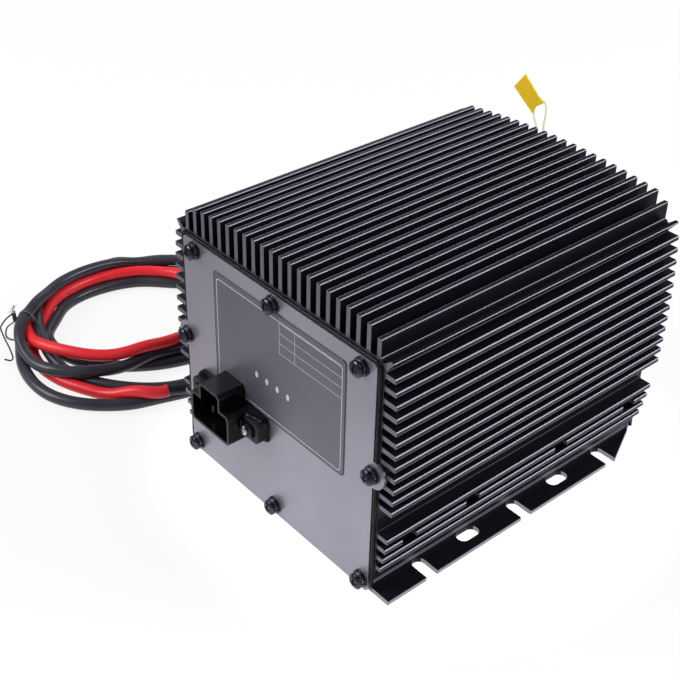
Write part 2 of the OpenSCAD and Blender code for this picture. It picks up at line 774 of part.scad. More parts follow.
module transformer_winding() {
    window = (core_size - middle_leg - 2 * yoke) / 2;
    color([0.85, 0.7, 0.2]) translate([transformer_place[0], transformer_place[1], board_top])
        bobbin_ring(middle_leg + 2 * window - 1.4, core_depth + 17, yoke + 2, core_size - 2 * yoke - 4);
}

// A ring core that lies flat
module ring_core(outer, inner, height) {
    rotate_extrude() translate([inner, 0]) square([outer - inner, height]);
}

// The wire on a ring core, with a gap where its ends come out
module ring_winding(outer, inner, height, wire) {
    rotate([0, 0, 30]) rotate_extrude(angle = 300) difference() {
        translate([inner - wire, -wire]) square([outer - inner + 2 * wire, height + 2 * wire]);
        translate([inner - slip, -slip]) square([outer - inner + 2 * slip, height + 2 * slip]);
    }
}

output_choke_place = [8, 62];
input_choke_place = [44, -34];
line_choke_place = [-44, -64];
wire = 2;

module output_choke_core() {
    color([0.75, 0.75, 0.3]) translate([output_choke_place[0], output_choke_place[1], board_top + wire])
        ring_core(choke_radius, choke_radius * 0.55, 14);
}

module output_choke_winding() {
    color([0.7, 0.35, 0.1]) translate([output_choke_place[0], output_choke_place[1], board_top + wire])
        ring_winding(choke_radius, choke_radius * 0.55, 14, wire);
}

module input_choke_core() {
    color([0.2, 0.3, 0.2]) translate([input_choke_place[0], input_choke_place[1], board_top + wire])
        ring_core(16, 9, 12);
}

module input_choke_winding() {
    color([0.7, 0.35, 0.1]) translate([input_choke_place[0], input_choke_place[1], board_top + wire])
        ring_winding(16, 9, 12, wire);
}

module line_choke_core() {
    color([0.2, 0.4, 0.25]) translate([line_choke_place[0], line_choke_place[1], board_top + wire])
        ring_core(13, 7.5, 10);
}

module line_choke_winding() {
    color([0.7, 0.35, 0.1]) translate([line_choke_place[0], line_choke_place[1], board_top + wire])
        ring_winding(13, 7.5, 10, wire);
}

// A round capacitor with a rolled groove near its foot
module round_capacitor(radius, height) {
    rotate_extrude() polygon([[0, 0], [radius, 0], [radius, 2.5], [radius - 0.7, 3.2], [radius, 4],
        [radius, height - 1], [radius - 1, height], [radius - 2, height - 0.5], [0, height - 0.5]]);
}

module bulk_capacitors() {
    color([0.15, 0.15, 0.3]) for (k = [-1:1]) translate([-42, 6 + k * (2 * bulk_radius + 2), board_top])
        round_capacitor(bulk_radius, bulk_height);
}

module output_capacitors() {
    color([0.1, 0.1, 0.1]) for (x = [0, 1], y = [0, 1])
        translate([board_width / 2 - 13 - x * (2 * output_cap_radius + 2),
            board_length / 2 - 22 - y * (2 * output_cap_radius + 2), board_top])
        round_capacitor(output_cap_radius, output_cap_height);
}

module line_capacitors() {
    color([0.85, 0.75, 0.3]) for (x = [16, 32]) translate([x, -66, board_top])
        rounded_block([12, 26, 20], 1);
}

fuse_place = [-10, -66];

module fuse() {
    color([0.85, 0.85, 0.85]) translate([fuse_place[0], fuse_place[1], board_top + 5])
        rotate([90, 0, 0]) {
            cylinder(h = 18, r = 2.9, center = true);
            for (s = [-1, 1]) translate([0, 0, s * 12.5]) cylinder(h = 7, r = 3.2, center = true);
        }
}

module fuse_clips() {
    color([0.8, 0.75, 0.5]) for (s = [-1, 1])
        translate([fuse_place[0], fuse_place[1] + s * 12.5, board_top]) difference() {
            translate([-4.2, -2.5, 0]) cube([8.4, 5, 7]);
            translate([0, 3, 5]) rotate([90, 0, 0]) cylinder(h = 6, r = 3.25);
            translate([-2.4, -3, 5]) cube([4.8, 6, 3]);
        }
}

module bridge_rectifier() {
    color([0.12, 0.12, 0.13]) translate([-14, -42, board_top]) {
        translate([-14, -3, 3]) cube([28, 6, 20]);
        for (x = [-10, -3.3, 3.3, 10]) translate([x - 0.6, -0.5, 0]) cube([1.2, 1, 3]);
    }
}

device_places = [-54, -18, 18, 54];
clamp_screw_places = [-36, 0, 36];
clamp_rise = 3;
clamp_height = 8;
clamp_thickness = 2.5;
clamp_screw_radius = 1.5;
clamp_grip = 2.4;

// A flat power device standing by the right wall, with three legs down to the board
module power_device(y) {
    bottom = device_z - device_height / 2;
    translate([device_x, y - device_width / 2, bottom])
        cube([device_thickness, device_width, device_height]);
    for (k = [-1, 0, 1]) translate([device_x + 1, y + k * 5.4 - 0.6, board_top])
        cube([0.8, 1.2, bottom - board_top]);
}

module power_transistors() {
    color([0.1, 0.1, 0.1]) for (y = device_places) power_device(y);
}

module output_diodes() {
    color([0.1, 0.1, 0.1]) mirror([1, 0, 0]) for (y = device_places) power_device(y);
}

module heat_pads() {
    color([0.8, 0.8, 0.85]) for (s = [0, 1]) mirror([s, 0, 0]) for (y = device_places)
        translate([inner_x - pad_thickness, y - device_width / 2, device_z - device_height / 2])
            cube([pad_thickness, device_width, device_height]);
}

module clamp_bars() {
    reach = device_places[3] + device_width / 2;
    color([0.6, 0.6, 0.62]) for (s = [0, 1]) mirror([s, 0, 0]) difference() {
        union() {
            translate([device_x - clamp_thickness, -reach, device_z + clamp_rise - clamp_height / 2])
                cube([clamp_thickness, 2 * reach, clamp_height]);
            for (y = clamp_screw_places) translate([device_x - 0.1, y, device_z + clamp_rise])
                rotate([0, 90, 0]) cylinder(h = inner_x - device_x + 0.1, r = 3.4);
        }
        for (y = clamp_screw_places) translate([device_x - clamp_thickness - 1, y, device_z + clamp_rise])
            rotate([0, 90, 0]) cylinder(h = 20, r = clamp_screw_radius + slip, $fn = 24);
    }
}

module clamp_screws() {
    color([0.75, 0.75, 0.78]) for (s = [0, 1]) mirror([s, 0, 0]) for (y = clamp_screw_places)
        translate([device_x - clamp_thickness, y, device_z + clamp_rise]) rotate([0, -90, 0])
            pan_screw(clamp_screw_radius, inner_x - device_x + clamp_thickness + clamp_grip, 2.8, 2, 1.5);
}

module charge_relay() {
    color([0.15, 0.25, 0.45]) translate([50, -66, board_top]) rounded_block([16, 28, 24], 0.8);
}

control_x = 46;
control_y = 8;

module control_board() {
    color([0.1, 0.35, 0.15]) translate([control_x, control_y, board_top]) {
        translate([-board_thickness / 2, -24, 4]) cube([board_thickness, 48, 30]);
        translate([-1.2, -20, 0]) cube([2.4, 40, 4]);
    }
}

module control_chip() {
    color([0.08, 0.08, 0.08]) translate([control_x + board_thickness / 2, control_y - 7, board_top + 12])
        cube([1.6, 14, 14]);
}

relief_neck = lead_radius + 2;
block_depth = 12;

module terminal_block() {
    height = exit_height - board_top + 7;
    width = 3 * exit_spacing - 3;
    color([0.1, 0.25, 0.12]) translate([exit_middle - width / 2, block_face - block_depth, board_top])
        difference() {
            cube([width, block_depth, height]);
            for (k = [-1:1]) translate([width / 2 + k * exit_spacing, 0, 0]) {
                translate([0, 4, exit_height - board_top]) rotate([-90, 0, 0])
                    cylinder(h = block_depth, r = lead_radius + bore_gap);
                translate([0, 4.5, height - 2.5]) cylinder(h = 4, r = 3);
            }
        }
}

// The moulded reliefs, each with a waist in the plate's hole and a flange inside
module strain_reliefs() {
    color([0.08, 0.08, 0.09]) for (x = exit_places) translate([x, 0, exit_height]) rotate([-90, 0, 0])
        rotate_extrude() polygon([[lead_radius + bore_gap, plate_back - 3],
            [relief_radius, plate_back - 3], [relief_radius, plate_back],
            [relief_neck - slip / 2, plate_back], [relief_neck - slip / 2, plate_front],
            [relief_radius, plate_front], [relief_radius, plate_front + 4], [relief_neck, plate_front + 6],
            [relief_tip, plate_front + relief_length], [lead_radius + bore_gap, plate_front + relief_length]]);
}

module red_lead() {
    color([0.85, 0.1, 0.12]) swept_tube(red_route, lead_radius, 10);
}

module black_lead() {
    color([0.12, 0.12, 0.13]) swept_tube(black_route, lead_radius, 10);
}

module signal_lead() {
    color([0.12, 0.12, 0.13]) swept_tube(signal_route, lead_radius, 10);
}

module at_end(place, heading) {
    translate(place) rotate([0, 0, heading]) children();
}

module coil_ring(grow) {
    difference() {
        translate([coil_outer_middle[0], coil_outer_middle[1], 0]) rotate_extrude()
            rounded_panel(coil_inner / 2, 0, coil_outer + grow, coil_height + grow, 4 + grow);
        translate([coil_inner_middle[0], coil_inner_middle[1], -1])
            cylinder(h = coil_height + 4, r = coil_inner - grow);
    }
}

module end_bed(place, heading, length, room, depth) {
    at_end(place, heading) translate([-2, -room - seat_gap, -depth - seat_gap])
        cube([length + 4, 2 * (room + seat_gap), 2 * coil_height]);
}

// The wound leads as one ring, with a bed for each lead's end
module lead_coil() {
    color([0.5, 0.1, 0.12]) difference() {
        coil_ring(0);
        end_bed(red_end, red_heading, sleeve_length + 20, tongue_radius, sleeve_radius);
        end_bed(black_end, black_heading, sleeve_length + 20, tongue_radius, lead_radius);
        end_bed(signal_end, signal_heading, plug_length, plug_radius, plug_radius);
    }
}

module sleeve() {
    rotate([0, 90, 0]) difference() {
        cylinder(h = sleeve_length, r = sleeve_radius);
        translate([0, 0, -1]) cylinder(h = sleeve_length + 2, r = sleeve_radius - 0.5);
    }
}

module ring_terminal() {
    barrel = sleeve_radius - 0.5 - slip / 2;
    middle = sleeve_length + 10;
    rotate([0, 90, 0]) cylinder(h = sleeve_length - 1, r = barrel);
    translate([0, 0, -tongue_thickness / 2]) linear_extrude(tongue_thickness) difference() {
        union() {
            translate([middle, 0]) circle(tongue_radius);
            polygon([[sleeve_length - 3, -barrel * 0.85], [sleeve_length, -barrel * 0.85],
                [middle - 4, -tongue_radius * 0.8], [middle - 4, tongue_radius * 0.8],
                [sleeve_length, barrel * 0.85], [sleeve_length - 3, barrel * 0.85]]);
        }
        translate([middle, 0]) circle(bolt_hole_radius);
    }
}

module red_sleeve() {
    color([0.05, 0.05, 0.05]) at_end(red_end, red_heading) sleeve();
}

module red_terminal() {
    color([0.8, 0.8, 0.82]) at_end(red_end, red_heading) ring_terminal();
}

module black_sleeve() {
    color([0.05, 0.05, 0.05]) at_end(black_end, black_heading) sleeve();
}

module black_terminal() {
    color([0.8, 0.8, 0.82]) at_end(black_end, black_heading) ring_terminal();
}

module signal_plug() {
    color([0.05, 0.05, 0.05]) at_end(signal_end, signal_heading) rotate([0, 90, 0]) difference() {
        union() {
            cylinder(h = plug_length, r = plug_radius - 0.6);
            cylinder(h = 10, r = plug_radius);
            translate([0, 0, 13]) cylinder(h = 2, r = plug_radius);
        }
        for (s = [-1, 1]) translate([0, s * 2, plug_length - 8]) cylinder(h = 9, r = 0.9, $fn = 24);
    }
}

tie_heading = 235;
tie_thickness = 0.8;

module coil_tie() {
    color([0.1, 0.1, 0.1]) intersection() {
        difference() {
            coil_ring(slip + tie_thickness);
            coil_ring(slip);
        }
        translate([coil_inner_middle[0], coil_inner_middle[1], 0]) rotate([0, 0, tie_heading])
            translate([0, -2, -1]) cube([2 * coil_outer, 4, 2 * coil_height]);
    }
}

module tag() {
    color([0.98, 0.85, 0.1]) along_y(tag_back - tag_thickness, tag_back) polygon(tag_outline);
}

module tag_string() {
    color([0.95, 0.9, 0.5]) swept_tube(string_route, string_radius, 8);
}

housing();
front_plate();
rear_plate();
front_gasket();
rear_gasket();
front_plate_screws();
rear_plate_screws();
lock_washers();
flat_washers();
front_label();
indicator_lenses();
indicator_board();
indicator_lamps();
indicator_posts();
inlet_body();
inlet_spacers();
inlet_blades();
inlet_screws();
inlet_nuts();
main_board();
board_standoffs();
board_screws();
transformer_core();
transformer_bobbin();
transformer_winding();
input_choke_core();
input_choke_winding();
output_choke_core();
output_choke_winding();
line_choke_core();
line_choke_winding();
bulk_capacitors();
output_capacitors();
line_capacitors();
fuse();
fuse_clips();
bridge_rectifier();
power_transistors();
output_diodes();
heat_pads();
clamp_bars();
clamp_screws();
charge_relay();
control_board();
control_chip();
terminal_block();
strain_reliefs();
red_lead();
black_lead();
signal_lead();
lead_coil();
red_sleeve();
red_terminal();
black_sleeve();
black_terminal();
signal_plug();
coil_tie();
tag();
tag_string();
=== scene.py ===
import math

import bmesh
import bpy
import numpy as np
from mathutils import Matrix, Vector


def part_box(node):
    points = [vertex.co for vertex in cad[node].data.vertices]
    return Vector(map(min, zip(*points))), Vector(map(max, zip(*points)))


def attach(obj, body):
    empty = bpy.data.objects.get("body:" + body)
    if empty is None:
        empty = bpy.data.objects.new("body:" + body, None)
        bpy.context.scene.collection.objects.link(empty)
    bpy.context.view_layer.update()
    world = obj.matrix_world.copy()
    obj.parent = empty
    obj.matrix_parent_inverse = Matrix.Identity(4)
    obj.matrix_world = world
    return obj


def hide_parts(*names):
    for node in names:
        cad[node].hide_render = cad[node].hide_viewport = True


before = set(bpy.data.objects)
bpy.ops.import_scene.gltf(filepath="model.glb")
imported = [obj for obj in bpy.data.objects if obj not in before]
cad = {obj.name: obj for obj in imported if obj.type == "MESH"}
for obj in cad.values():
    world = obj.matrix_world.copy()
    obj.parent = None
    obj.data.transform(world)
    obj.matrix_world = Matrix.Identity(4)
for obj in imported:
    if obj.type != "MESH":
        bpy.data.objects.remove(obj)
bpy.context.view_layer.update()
scene = bpy.context.scene


# Camera
# The charger is seen from above its front right corner, a little below the middle of a long lens.
azimuth, elevation, roll = math.radians(50.59), math.radians(33.616), math.radians(0.3066)
camera_place = (0.399, -0.4107, 0.4642)
lens_length, film_width = 66.38, 36
shift_right, shift_up = 0.0532, -0.0386
back = Vector((math.sin(azimuth) * math.cos(elevation), -math.cos(azimuth) * math.cos(elevation),
               math.sin(elevation)))
level_right = Vector((math.cos(azimuth), math.sin(azimuth), 0))
right = math.cos(roll) * level_right + math.sin(roll) * back.cross(level_right)
camera = bpy.data.objects.new("camera", bpy.data.cameras.new("camera"))
camera.matrix_world = Matrix((right, back.cross(right), back)).transposed().to_4x4()
camera.location = camera_place
camera.data.lens, camera.data.sensor_width = lens_length, film_width
camera.data.shift_x, camera.data.shift_y = shift_right, shift_up
scene.collection.objects.link(camera)
scene.camera = camera
scene.view_settings.view_transform = "Standard"


# Battery leads
# Three rubber leads leave the rear plate, are wound twice round by hand and lie on the floor.
# They are settled against each other and the floor from the route that each was laid along.
lead_radius = 0.00375
guide_spacing, line_spacing = 0.004, 0.002
quick_rounds, full_rounds = 40, 300
coil_middle = Vector((-0.185, -0.06, 0))
black_route = [
    (-0.052, 0.104, 0.027), (-0.052, 0.126, 0.027),
    (-0.052, 0.132, 0.027), (-0.053, 0.143, 0.024), (-0.057, 0.153, 0.016), (-0.067, 0.16, 0.008),
    (-0.081, 0.16, 0.004), (-0.096, 0.152, 0.004), (-0.108, 0.139, 0.004), (-0.118, 0.122, 0.004),
    (-0.127, 0.105, 0.004), (-0.136, 0.088, 0.004), (-0.146, 0.071, 0.004),
    (-0.157, 0.054, 0.004), (-0.17, 0.038, 0.004), (-0.184, 0.023, 0.004),
]
black_winding = [
    (103, 0.07, 0.004), (116, 0.062, 0.004), (130, 0.0564, 0.0038), (153, 0.06, 0.0038),
    (181, 0.063, 0.0038), (201, 0.066, 0.0038), (217, 0.068, 0.004), (235, 0.068, 0.004),
    (250, 0.064, 0.005), (266, 0.057, 0.005), (282, 0.05, 0.004), (300, 0.044, 0.004),
    (320, 0.041, 0.004), (340, 0.0395, 0.004), (0, 0.041, 0.004), (20, 0.046, 0.004),
    (40, 0.052, 0.004), (60, 0.06, 0.006), (75, 0.067, 0.01), (90, 0.073, 0.012),
    (103, 0.076, 0.012), (116, 0.075, 0.009), (130, 0.072, 0.0038), (153, 0.075, 0.0038),
    (181, 0.078, 0.0038), (201, 0.08, 0.0038), (217, 0.08, 0.0038), (235, 0.082, 0.0038),
    (255, 0.0845, 0.0038), (275, 0.0885, 0.0038), (290, 0.0882, 0.0038), (305, 0.084, 0.0038),
    (316, 0.079, 0.0038), (330, 0.0745, 0.0038), (345, 0.073, 0.0038), (0, 0.0735, 0.0038),
    (9.3, 0.074, 0.0038),
]
red_route = [
    (-0.036, 0.104, 0.027), (-0.036, 0.126, 0.027),
    (-0.036, 0.132, 0.027), (-0.038, 0.145, 0.024), (-0.043, 0.157, 0.016),
    (-0.054, 0.168, 0.008), (-0.071, 0.172, 0.004), (-0.09, 0.166, 0.004), (-0.106, 0.154, 0.004),
    (-0.119, 0.139, 0.004), (-0.13, 0.122, 0.004), (-0.14, 0.104, 0.004), (-0.15, 0.086, 0.004),
    (-0.161, 0.068, 0.004), (-0.174, 0.051, 0.004), (-0.189, 0.035, 0.004),
]
red_winding = [
    (107, 0.08, 0.004), (118, 0.07, 0.004), (130, 0.064, 0.0038), (153, 0.0675, 0.0038),
    (181, 0.0705, 0.0038), (201, 0.0735, 0.004), (217, 0.077, 0.006), (230, 0.0775, 0.0075),
    (240, 0.0765, 0.0103), (250, 0.0755, 0.0145), (266, 0.0665, 0.0175), (291, 0.0531, 0.0175),
    (319, 0.0415, 0.0175), (356, 0.0362, 0.017), (8, 0.034, 0.0145), (18, 0.034, 0.01),
    (30, 0.037, 0.0055), (42, 0.041, 0.0038), (55, 0.0445, 0.0038), (73, 0.048, 0.0038),
    (88, 0.05, 0.005), (101, 0.052, 0.0085),
    (115, 0.055, 0.0105), (130, 0.0591, 0.0103), (153, 0.0637, 0.0103), (178, 0.0675, 0.0103),
    (200, 0.071, 0.0102), (212, 0.073, 0.009), (223, 0.0735, 0.0055), (233, 0.0745, 0.0038),
    (248, 0.0765, 0.0038), (264, 0.0765, 0.0038), (279, 0.0749, 0.0038), (300, 0.0725, 0.0042),
    (315, 0.0755, 0.008), (327.1, 0.0789, 0.0105), (334.7, 0.0785, 0.0113),
]
signal_route = [
    (-0.02, 0.104, 0.027), (-0.02, 0.126, 0.027), (-0.02, 0.132, 0.027),
    (-0.022, 0.146, 0.024), (-0.029, 0.161, 0.016), (-0.043, 0.175, 0.008),
    (-0.062, 0.182, 0.004), (-0.083, 0.179, 0.004), (-0.102, 0.169, 0.004),
    (-0.118, 0.155, 0.004), (-0.131, 0.139, 0.004), (-0.142, 0.122, 0.004),
    (-0.152, 0.106, 0.004), (-0.163, 0.09, 0.004), (-0.177, 0.074, 0.004), (-0.194, 0.059, 0.004),
    (-0.212, 0.044, 0.004),
]
signal_winding = [
    (112, 0.094, 0.004), (121, 0.09, 0.004), (130, 0.0875, 0.004), (140, 0.087, 0.004),
    (148, 0.086, 0.004), (158, 0.081, 0.007), (168, 0.076, 0.01), (181, 0.0743, 0.0103),
    (201, 0.077, 0.0103), (217, 0.077, 0.012), (228, 0.074, 0.013), (240, 0.071, 0.011),
    (252, 0.068, 0.0095), (264, 0.067, 0.007), (279, 0.066, 0.004), (300, 0.064, 0.0038),
    (320, 0.064, 0.0038), (340, 0.066, 0.0038), (0, 0.067, 0.0038), (20, 0.07, 0.0038),
    (40, 0.076, 0.004), (60, 0.082, 0.007), (75, 0.085, 0.011), (90, 0.086, 0.012),
    (105, 0.0845, 0.012), (118, 0.081, 0.0103), (130, 0.0775, 0.0106), (147, 0.072, 0.013),
    (162, 0.0695, 0.016), (175, 0.0696, 0.0168), (199, 0.0722, 0.0168), (216, 0.0732, 0.017),
    (231, 0.0765, 0.0172), (243, 0.0795, 0.0165), (257, 0.0825, 0.0118), (274, 0.0776, 0.0106),
    (290, 0.0669, 0.0108), (305, 0.052, 0.011), (330, 0.0389, 0.011), (2, 0.0358, 0.0106),
    (22, 0.043, 0.011), (38.4, 0.0499, 0.012), (52, 0.051, 0.0125),
]


def wound(turns):
    """Points of a winding given as angle, distance from the coil's middle and height."""
    return [(coil_middle.x + distance * math.cos(math.radians(angle)),
             coil_middle.y + distance * math.sin(math.radians(angle)), height)
            for angle, distance, height in turns]


def smooth_line(points, spacing):
    """A line through all the points, as points that lie the spacing apart."""
    points = np.array(points, float)
    ends = np.vstack([2 * points[0] - points[1], points, 2 * points[-1] - points[-2]])
    curve = []
    for a, b, c, d in zip(ends, ends[1:], ends[2:], ends[3:]):
        steps = max(3, int(np.linalg.norm(c - b) / spacing * 4))
        t = np.linspace(0, 1, steps, endpoint=False)[:, None]
        curve.append(0.5 * (2 * b + (c - a) * t + (2 * a - 5 * b + 4 * c - d) * t**2
                            + (3 * b - a - 3 * c + d) * t**3))
    curve = np.vstack(curve + [points[-1:]])
    along = np.concatenate([[0], np.cumsum(np.linalg.norm(np.diff(curve, axis=0), axis=1))])
    steps = np.linspace(0, along[-1], round(along[-1] / spacing) + 1)
    return np.stack([np.interp(steps, along, curve[:, axis]) for axis in range(3)], axis=1)


def settle(guides, radius, rounds):
    """Moves the leads apart where they overlap, and down where nothing is under them."""
    own_reach, fixed_start, fixed_end = 6, 8, 2
    push_share, clear_gap = 0.35, 2.008 * radius
    early_pull, late_pull, late_from = 0.02, 0.006, 0.6 * rounds
    stiffness, sink = 0.45, 0.00002
    lines = [guide.copy() for guide in guides]
    lead_of = np.concatenate([np.full(len(line), k) for k, line in enumerate(lines)])
    place = np.concatenate([np.arange(len(line)) for line in lines])
    neighbours = (lead_of[:, None] == lead_of) & (abs(place[:, None] - place) < own_reach)
    first, second = np.nonzero(np.triu(~neighbours, 1))
    bounds = np.concatenate([[0], np.cumsum([len(line) for line in lines])])
    for step in range(rounds):
        points = np.vstack(lines)
        between = points[first] - points[second]
        close = (between**2).sum(1) < (2 * radius) ** 2
        gap = np.linalg.norm(between[close], axis=1)[:, None] + 1e-9
        push = push_share * (clear_gap - gap) / gap * between[close]
        np.add.at(points, first[close], push)
        np.add.at(points, second[close], -push)
        for k, guide in enumerate(guides):
            line = points[bounds[k]:bounds[k + 1]]
            line += (early_pull if step < late_from else late_pull) * (guide - line)
            bend = np.zeros_like(line)
            bend[1:-1] = 0.5 * (line[:-2] + line[2:]) - line[1:-1]
            line[2:-2] += stiffness * (bend[2:-2] - 0.5 * (bend[1:-3] + bend[3:-1]))
            line[:, 2] = np.maximum(line[:, 2] - sink, radius)
            line[:fixed_start], line[-fixed_end:] = guide[:fixed_start], guide[-fixed_end:]
            lines[k] = line
    return lines


def tube(name, points, radius, sides=4):
    """A round tube along the points, closed at both ends."""
    data = bpy.data.curves.new(name, "CURVE")
    data.dimensions, data.bevel_depth, data.bevel_resolution = "3D", radius, sides
    data.use_fill_caps = True
    spline = data.splines.new("POLY")
    spline.points.add(len(points) - 1)
    for point, place in zip(spline.points, points):
        point.co = (*place, 1)
    piece = bpy.data.objects.new(name, data)
    scene.collection.objects.link(piece)
    return piece


def node_group(name, inputs, outputs):
    """An empty shader group with float inputs, given as name and value, and float outputs."""
    tree = bpy.data.node_groups.new(name, "ShaderNodeTree")
    for label, value in inputs.items():
        tree.interface.new_socket(name=label, in_out="INPUT",
                                  socket_type="NodeSocketFloat").default_value = value
    for label in outputs:
        tree.interface.new_socket(name=label, in_out="OUTPUT", socket_type="NodeSocketFloat")
    return tree, tree.nodes.new("NodeGroupInput"), tree.nodes.new("NodeGroupOutput")


def noise(tree, vector, scale, detail):
    """A noise texture on a vector, with its scale from a socket or a number."""
    texture = tree.nodes.new("ShaderNodeTexNoise")
    texture.inputs["Detail"].default_value = detail
    tree.links.new(vector, texture.inputs["Vector"])
    if isinstance(scale, (int, float)):
        texture.inputs["Scale"].default_value = scale
    else:
        tree.links.new(scale, texture.inputs["Scale"])
    return texture.outputs["Fac"]


def arithmetic(tree, operation, *values):
    """A math node on sockets or numbers."""
    node = tree.nodes.new("ShaderNodeMath")
    node.operation = operation
    for socket, value in zip(node.inputs, values):
        if isinstance(value, (int, float)):
            socket.default_value = value
        else:
            tree.links.new(value, socket)
    return node.outputs[0]


# Group: a fine grain and a slow patchiness, for moulded, painted and sheathed surfaces
grain_tree, grain_in, grain_out = node_group(
    "moulded grain", {"Grain scale": 900, "Patch scale": 30, "Roughness": 0.5, "Spread": 0.1},
    ("Height", "Patch", "Roughness"))
grain_place = grain_tree.nodes.new("ShaderNodeTexCoord").outputs["Object"]
grain_height = noise(grain_tree, grain_place, grain_in.outputs["Grain scale"], detail=2)
grain_patch = noise(grain_tree, grain_place, grain_in.outputs["Patch scale"], detail=3)
grain_tree.links.new(grain_height, grain_out.inputs["Height"])
grain_tree.links.new(grain_patch, grain_out.inputs["Patch"])
grain_rise = arithmetic(grain_tree, "SUBTRACT", grain_patch, 0.5)
grain_rise = arithmetic(grain_tree, "MULTIPLY", grain_rise, grain_in.outputs["Spread"])
grain_tree.links.new(arithmetic(grain_tree, "ADD", grain_in.outputs["Roughness"], grain_rise),
                     grain_out.inputs["Roughness"])


def placed(tree, group, **values):
    """A shader group placed in a material, with its own values."""
    node = tree.nodes.new("ShaderNodeGroup")
    node.node_tree = group
    for label, value in values.items():
        node.inputs[label.replace("_", " ")].default_value = value
    return node


def finish(name, dark, light, roughness, metallic=0.0, grain=900, patch=30, depth=0.00002,
           spread=0.25, specular=0.5, coat=0.0):
    """A material whose colour drifts between two tones, with grain in its height and roughness."""
    material = bpy.data.materials.new(name)
    material.use_nodes = True
    tree = material.node_tree
    shader = tree.nodes["Principled BSDF"]
    group = placed(tree, grain_tree, Grain_scale=grain, Patch_scale=patch, Roughness=roughness,
                   Spread=spread)
    tones = tree.nodes.new("ShaderNodeValToRGB")
    for stop, position, tone in zip(tones.color_ramp.elements, (0.35, 0.65), (dark, light)):
        stop.position, stop.color = position, (*tone, 1)
    bump = tree.nodes.new("ShaderNodeBump")
    bump.inputs["Distance"].default_value = depth
    tree.links.new(group.outputs["Patch"], tones.inputs["Fac"])
    tree.links.new(tones.outputs["Color"], shader.inputs["Base Color"])
    tree.links.new(group.outputs["Roughness"], shader.inputs["Roughness"])
    tree.links.new(group.outputs["Height"], bump.inputs["Height"])
    tree.links.new(bump.outputs["Normal"], shader.inputs["Normal"])
    shader.inputs["Metallic"].default_value = metallic
    shader.inputs["Specular IOR Level"].default_value = specular
    shader.inputs["Coat Weight"].default_value = coat
    return material


def wear_finish(piece, material):
    """Gives a piece one material."""
    piece.data.materials.clear()
    piece.data.materials.append(material)
    return piece


red_jacket = finish("red jacket", (0.93, 0.022, 0.03), (0.99, 0.03, 0.039), 0.34, grain=700,
                    patch=45, depth=0.00004)
black_jacket = finish("black jacket", (0.036, 0.034, 0.045), (0.05, 0.0475, 0.062), 0.3, grain=700,
                      patch=45, depth=0.00004)
leads = {"black": (black_route, black_winding, black_jacket),
         "red": (red_route, red_winding, red_jacket),
         "signal": (signal_route, signal_winding, black_jacket)}
guides = [smooth_line(route + wound(winding), guide_spacing)
          for route, winding, jacket in leads.values()]
settled = settle(guides, lead_radius, full_rounds)
for (name, (route, winding, jacket)), line in zip(leads.items(), settled):
    line = smooth_line(line, line_spacing)
    lead = wear_finish(tube(name + "_battery_lead", line, lead_radius), jacket)
    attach(lead, "root")
    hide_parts(name + "_lead", "lead_coil")


# Lead ends
# The battery leads end in crimped ring terminals with a black sleeve, the third in a small plug.
terminal_metal = finish("tinned copper", (0.52, 0.52, 0.53), (0.66, 0.66, 0.67), 0.3, metallic=1.0,
                        grain=1500, patch=120, depth=0.00001)
sleeve_plastic = finish("shrunk sleeve", (0.012, 0.012, 0.014), (0.02, 0.02, 0.023), 0.38,
                        grain=1200)
for node in ("red_sleeve", "black_sleeve", "signal_plug"):
    wear_finish(cad[node], sleeve_plastic)
for node in ("red_terminal", "black_terminal"):
    wear_finish(cad[node], terminal_metal)


# Twist tie
# A black wire with a clear plastic film is twisted round the coil's outer side; one end of the wire
# trails on the floor and the film stands up in a small wing.
tie_wire_radius, tie_wire_spacing = 0.0005, 0.0004
tie_tail = [
    (-0.2162, -0.149, 0.002), (-0.2132, -0.1467, 0.0018), (-0.2139, -0.1445, 0.0018),
    (-0.2182, -0.1427, 0.0018), (-0.2252, -0.1409, 0.0028), (-0.2335, -0.1393, 0.004),
    (-0.2432, -0.1368, 0.005), (-0.2452, -0.1357, 0.006), (-0.2462, -0.1316, 0.009),
]
tie_over = [
    (-0.2341, -0.1276, 0.0162), (-0.2325, -0.1266, 0.0196), (-0.2303, -0.1247, 0.0215),
    (-0.2273, -0.1227, 0.0213), (-0.2248, -0.1212, 0.0186), (-0.2228, -0.1205, 0.0154),
    (-0.2198, -0.119, 0.0138), (-0.2155, -0.1181, 0.0096), (-0.213, -0.1172, 0.007),
    (-0.2125, -0.1145, 0.003), (-0.2128, -0.1133, 0.0006),
]
tie_under = [
    (-0.217, -0.117, 0.0004), (-0.226, -0.126, 0.0004), (-0.2355, -0.1345, 0.0005),
    (-0.2385, -0.136, 0.0025), (-0.2395, -0.134, 0.0075),
]
tie_knot_base = Vector((-0.2365, -0.129, 0.0125))
tie_knot_tip = Vector((-0.2456, -0.1256, 0.0122))
tie_knot_radius, tie_knot_turns, points_per_turn = 0.001, 3, 10
tie_free_end = [(-0.2478, -0.1245, 0.0138), (-0.2494, -0.1228, 0.0146)]


def twisted(start, end, radius, turns):
    """Points of a strand that winds round the line from start to end."""
    along = (end - start).normalized()
    side = along.orthogonal().normalized()
    count = turns * points_per_turn
    points = []
    for k in range(count + 1):
        turned = Matrix.Rotation(2 * math.pi * turns * k / count, 3, along) @ side
        points.append(tuple(start.lerp(end, k / count) + radius * turned))
    return points


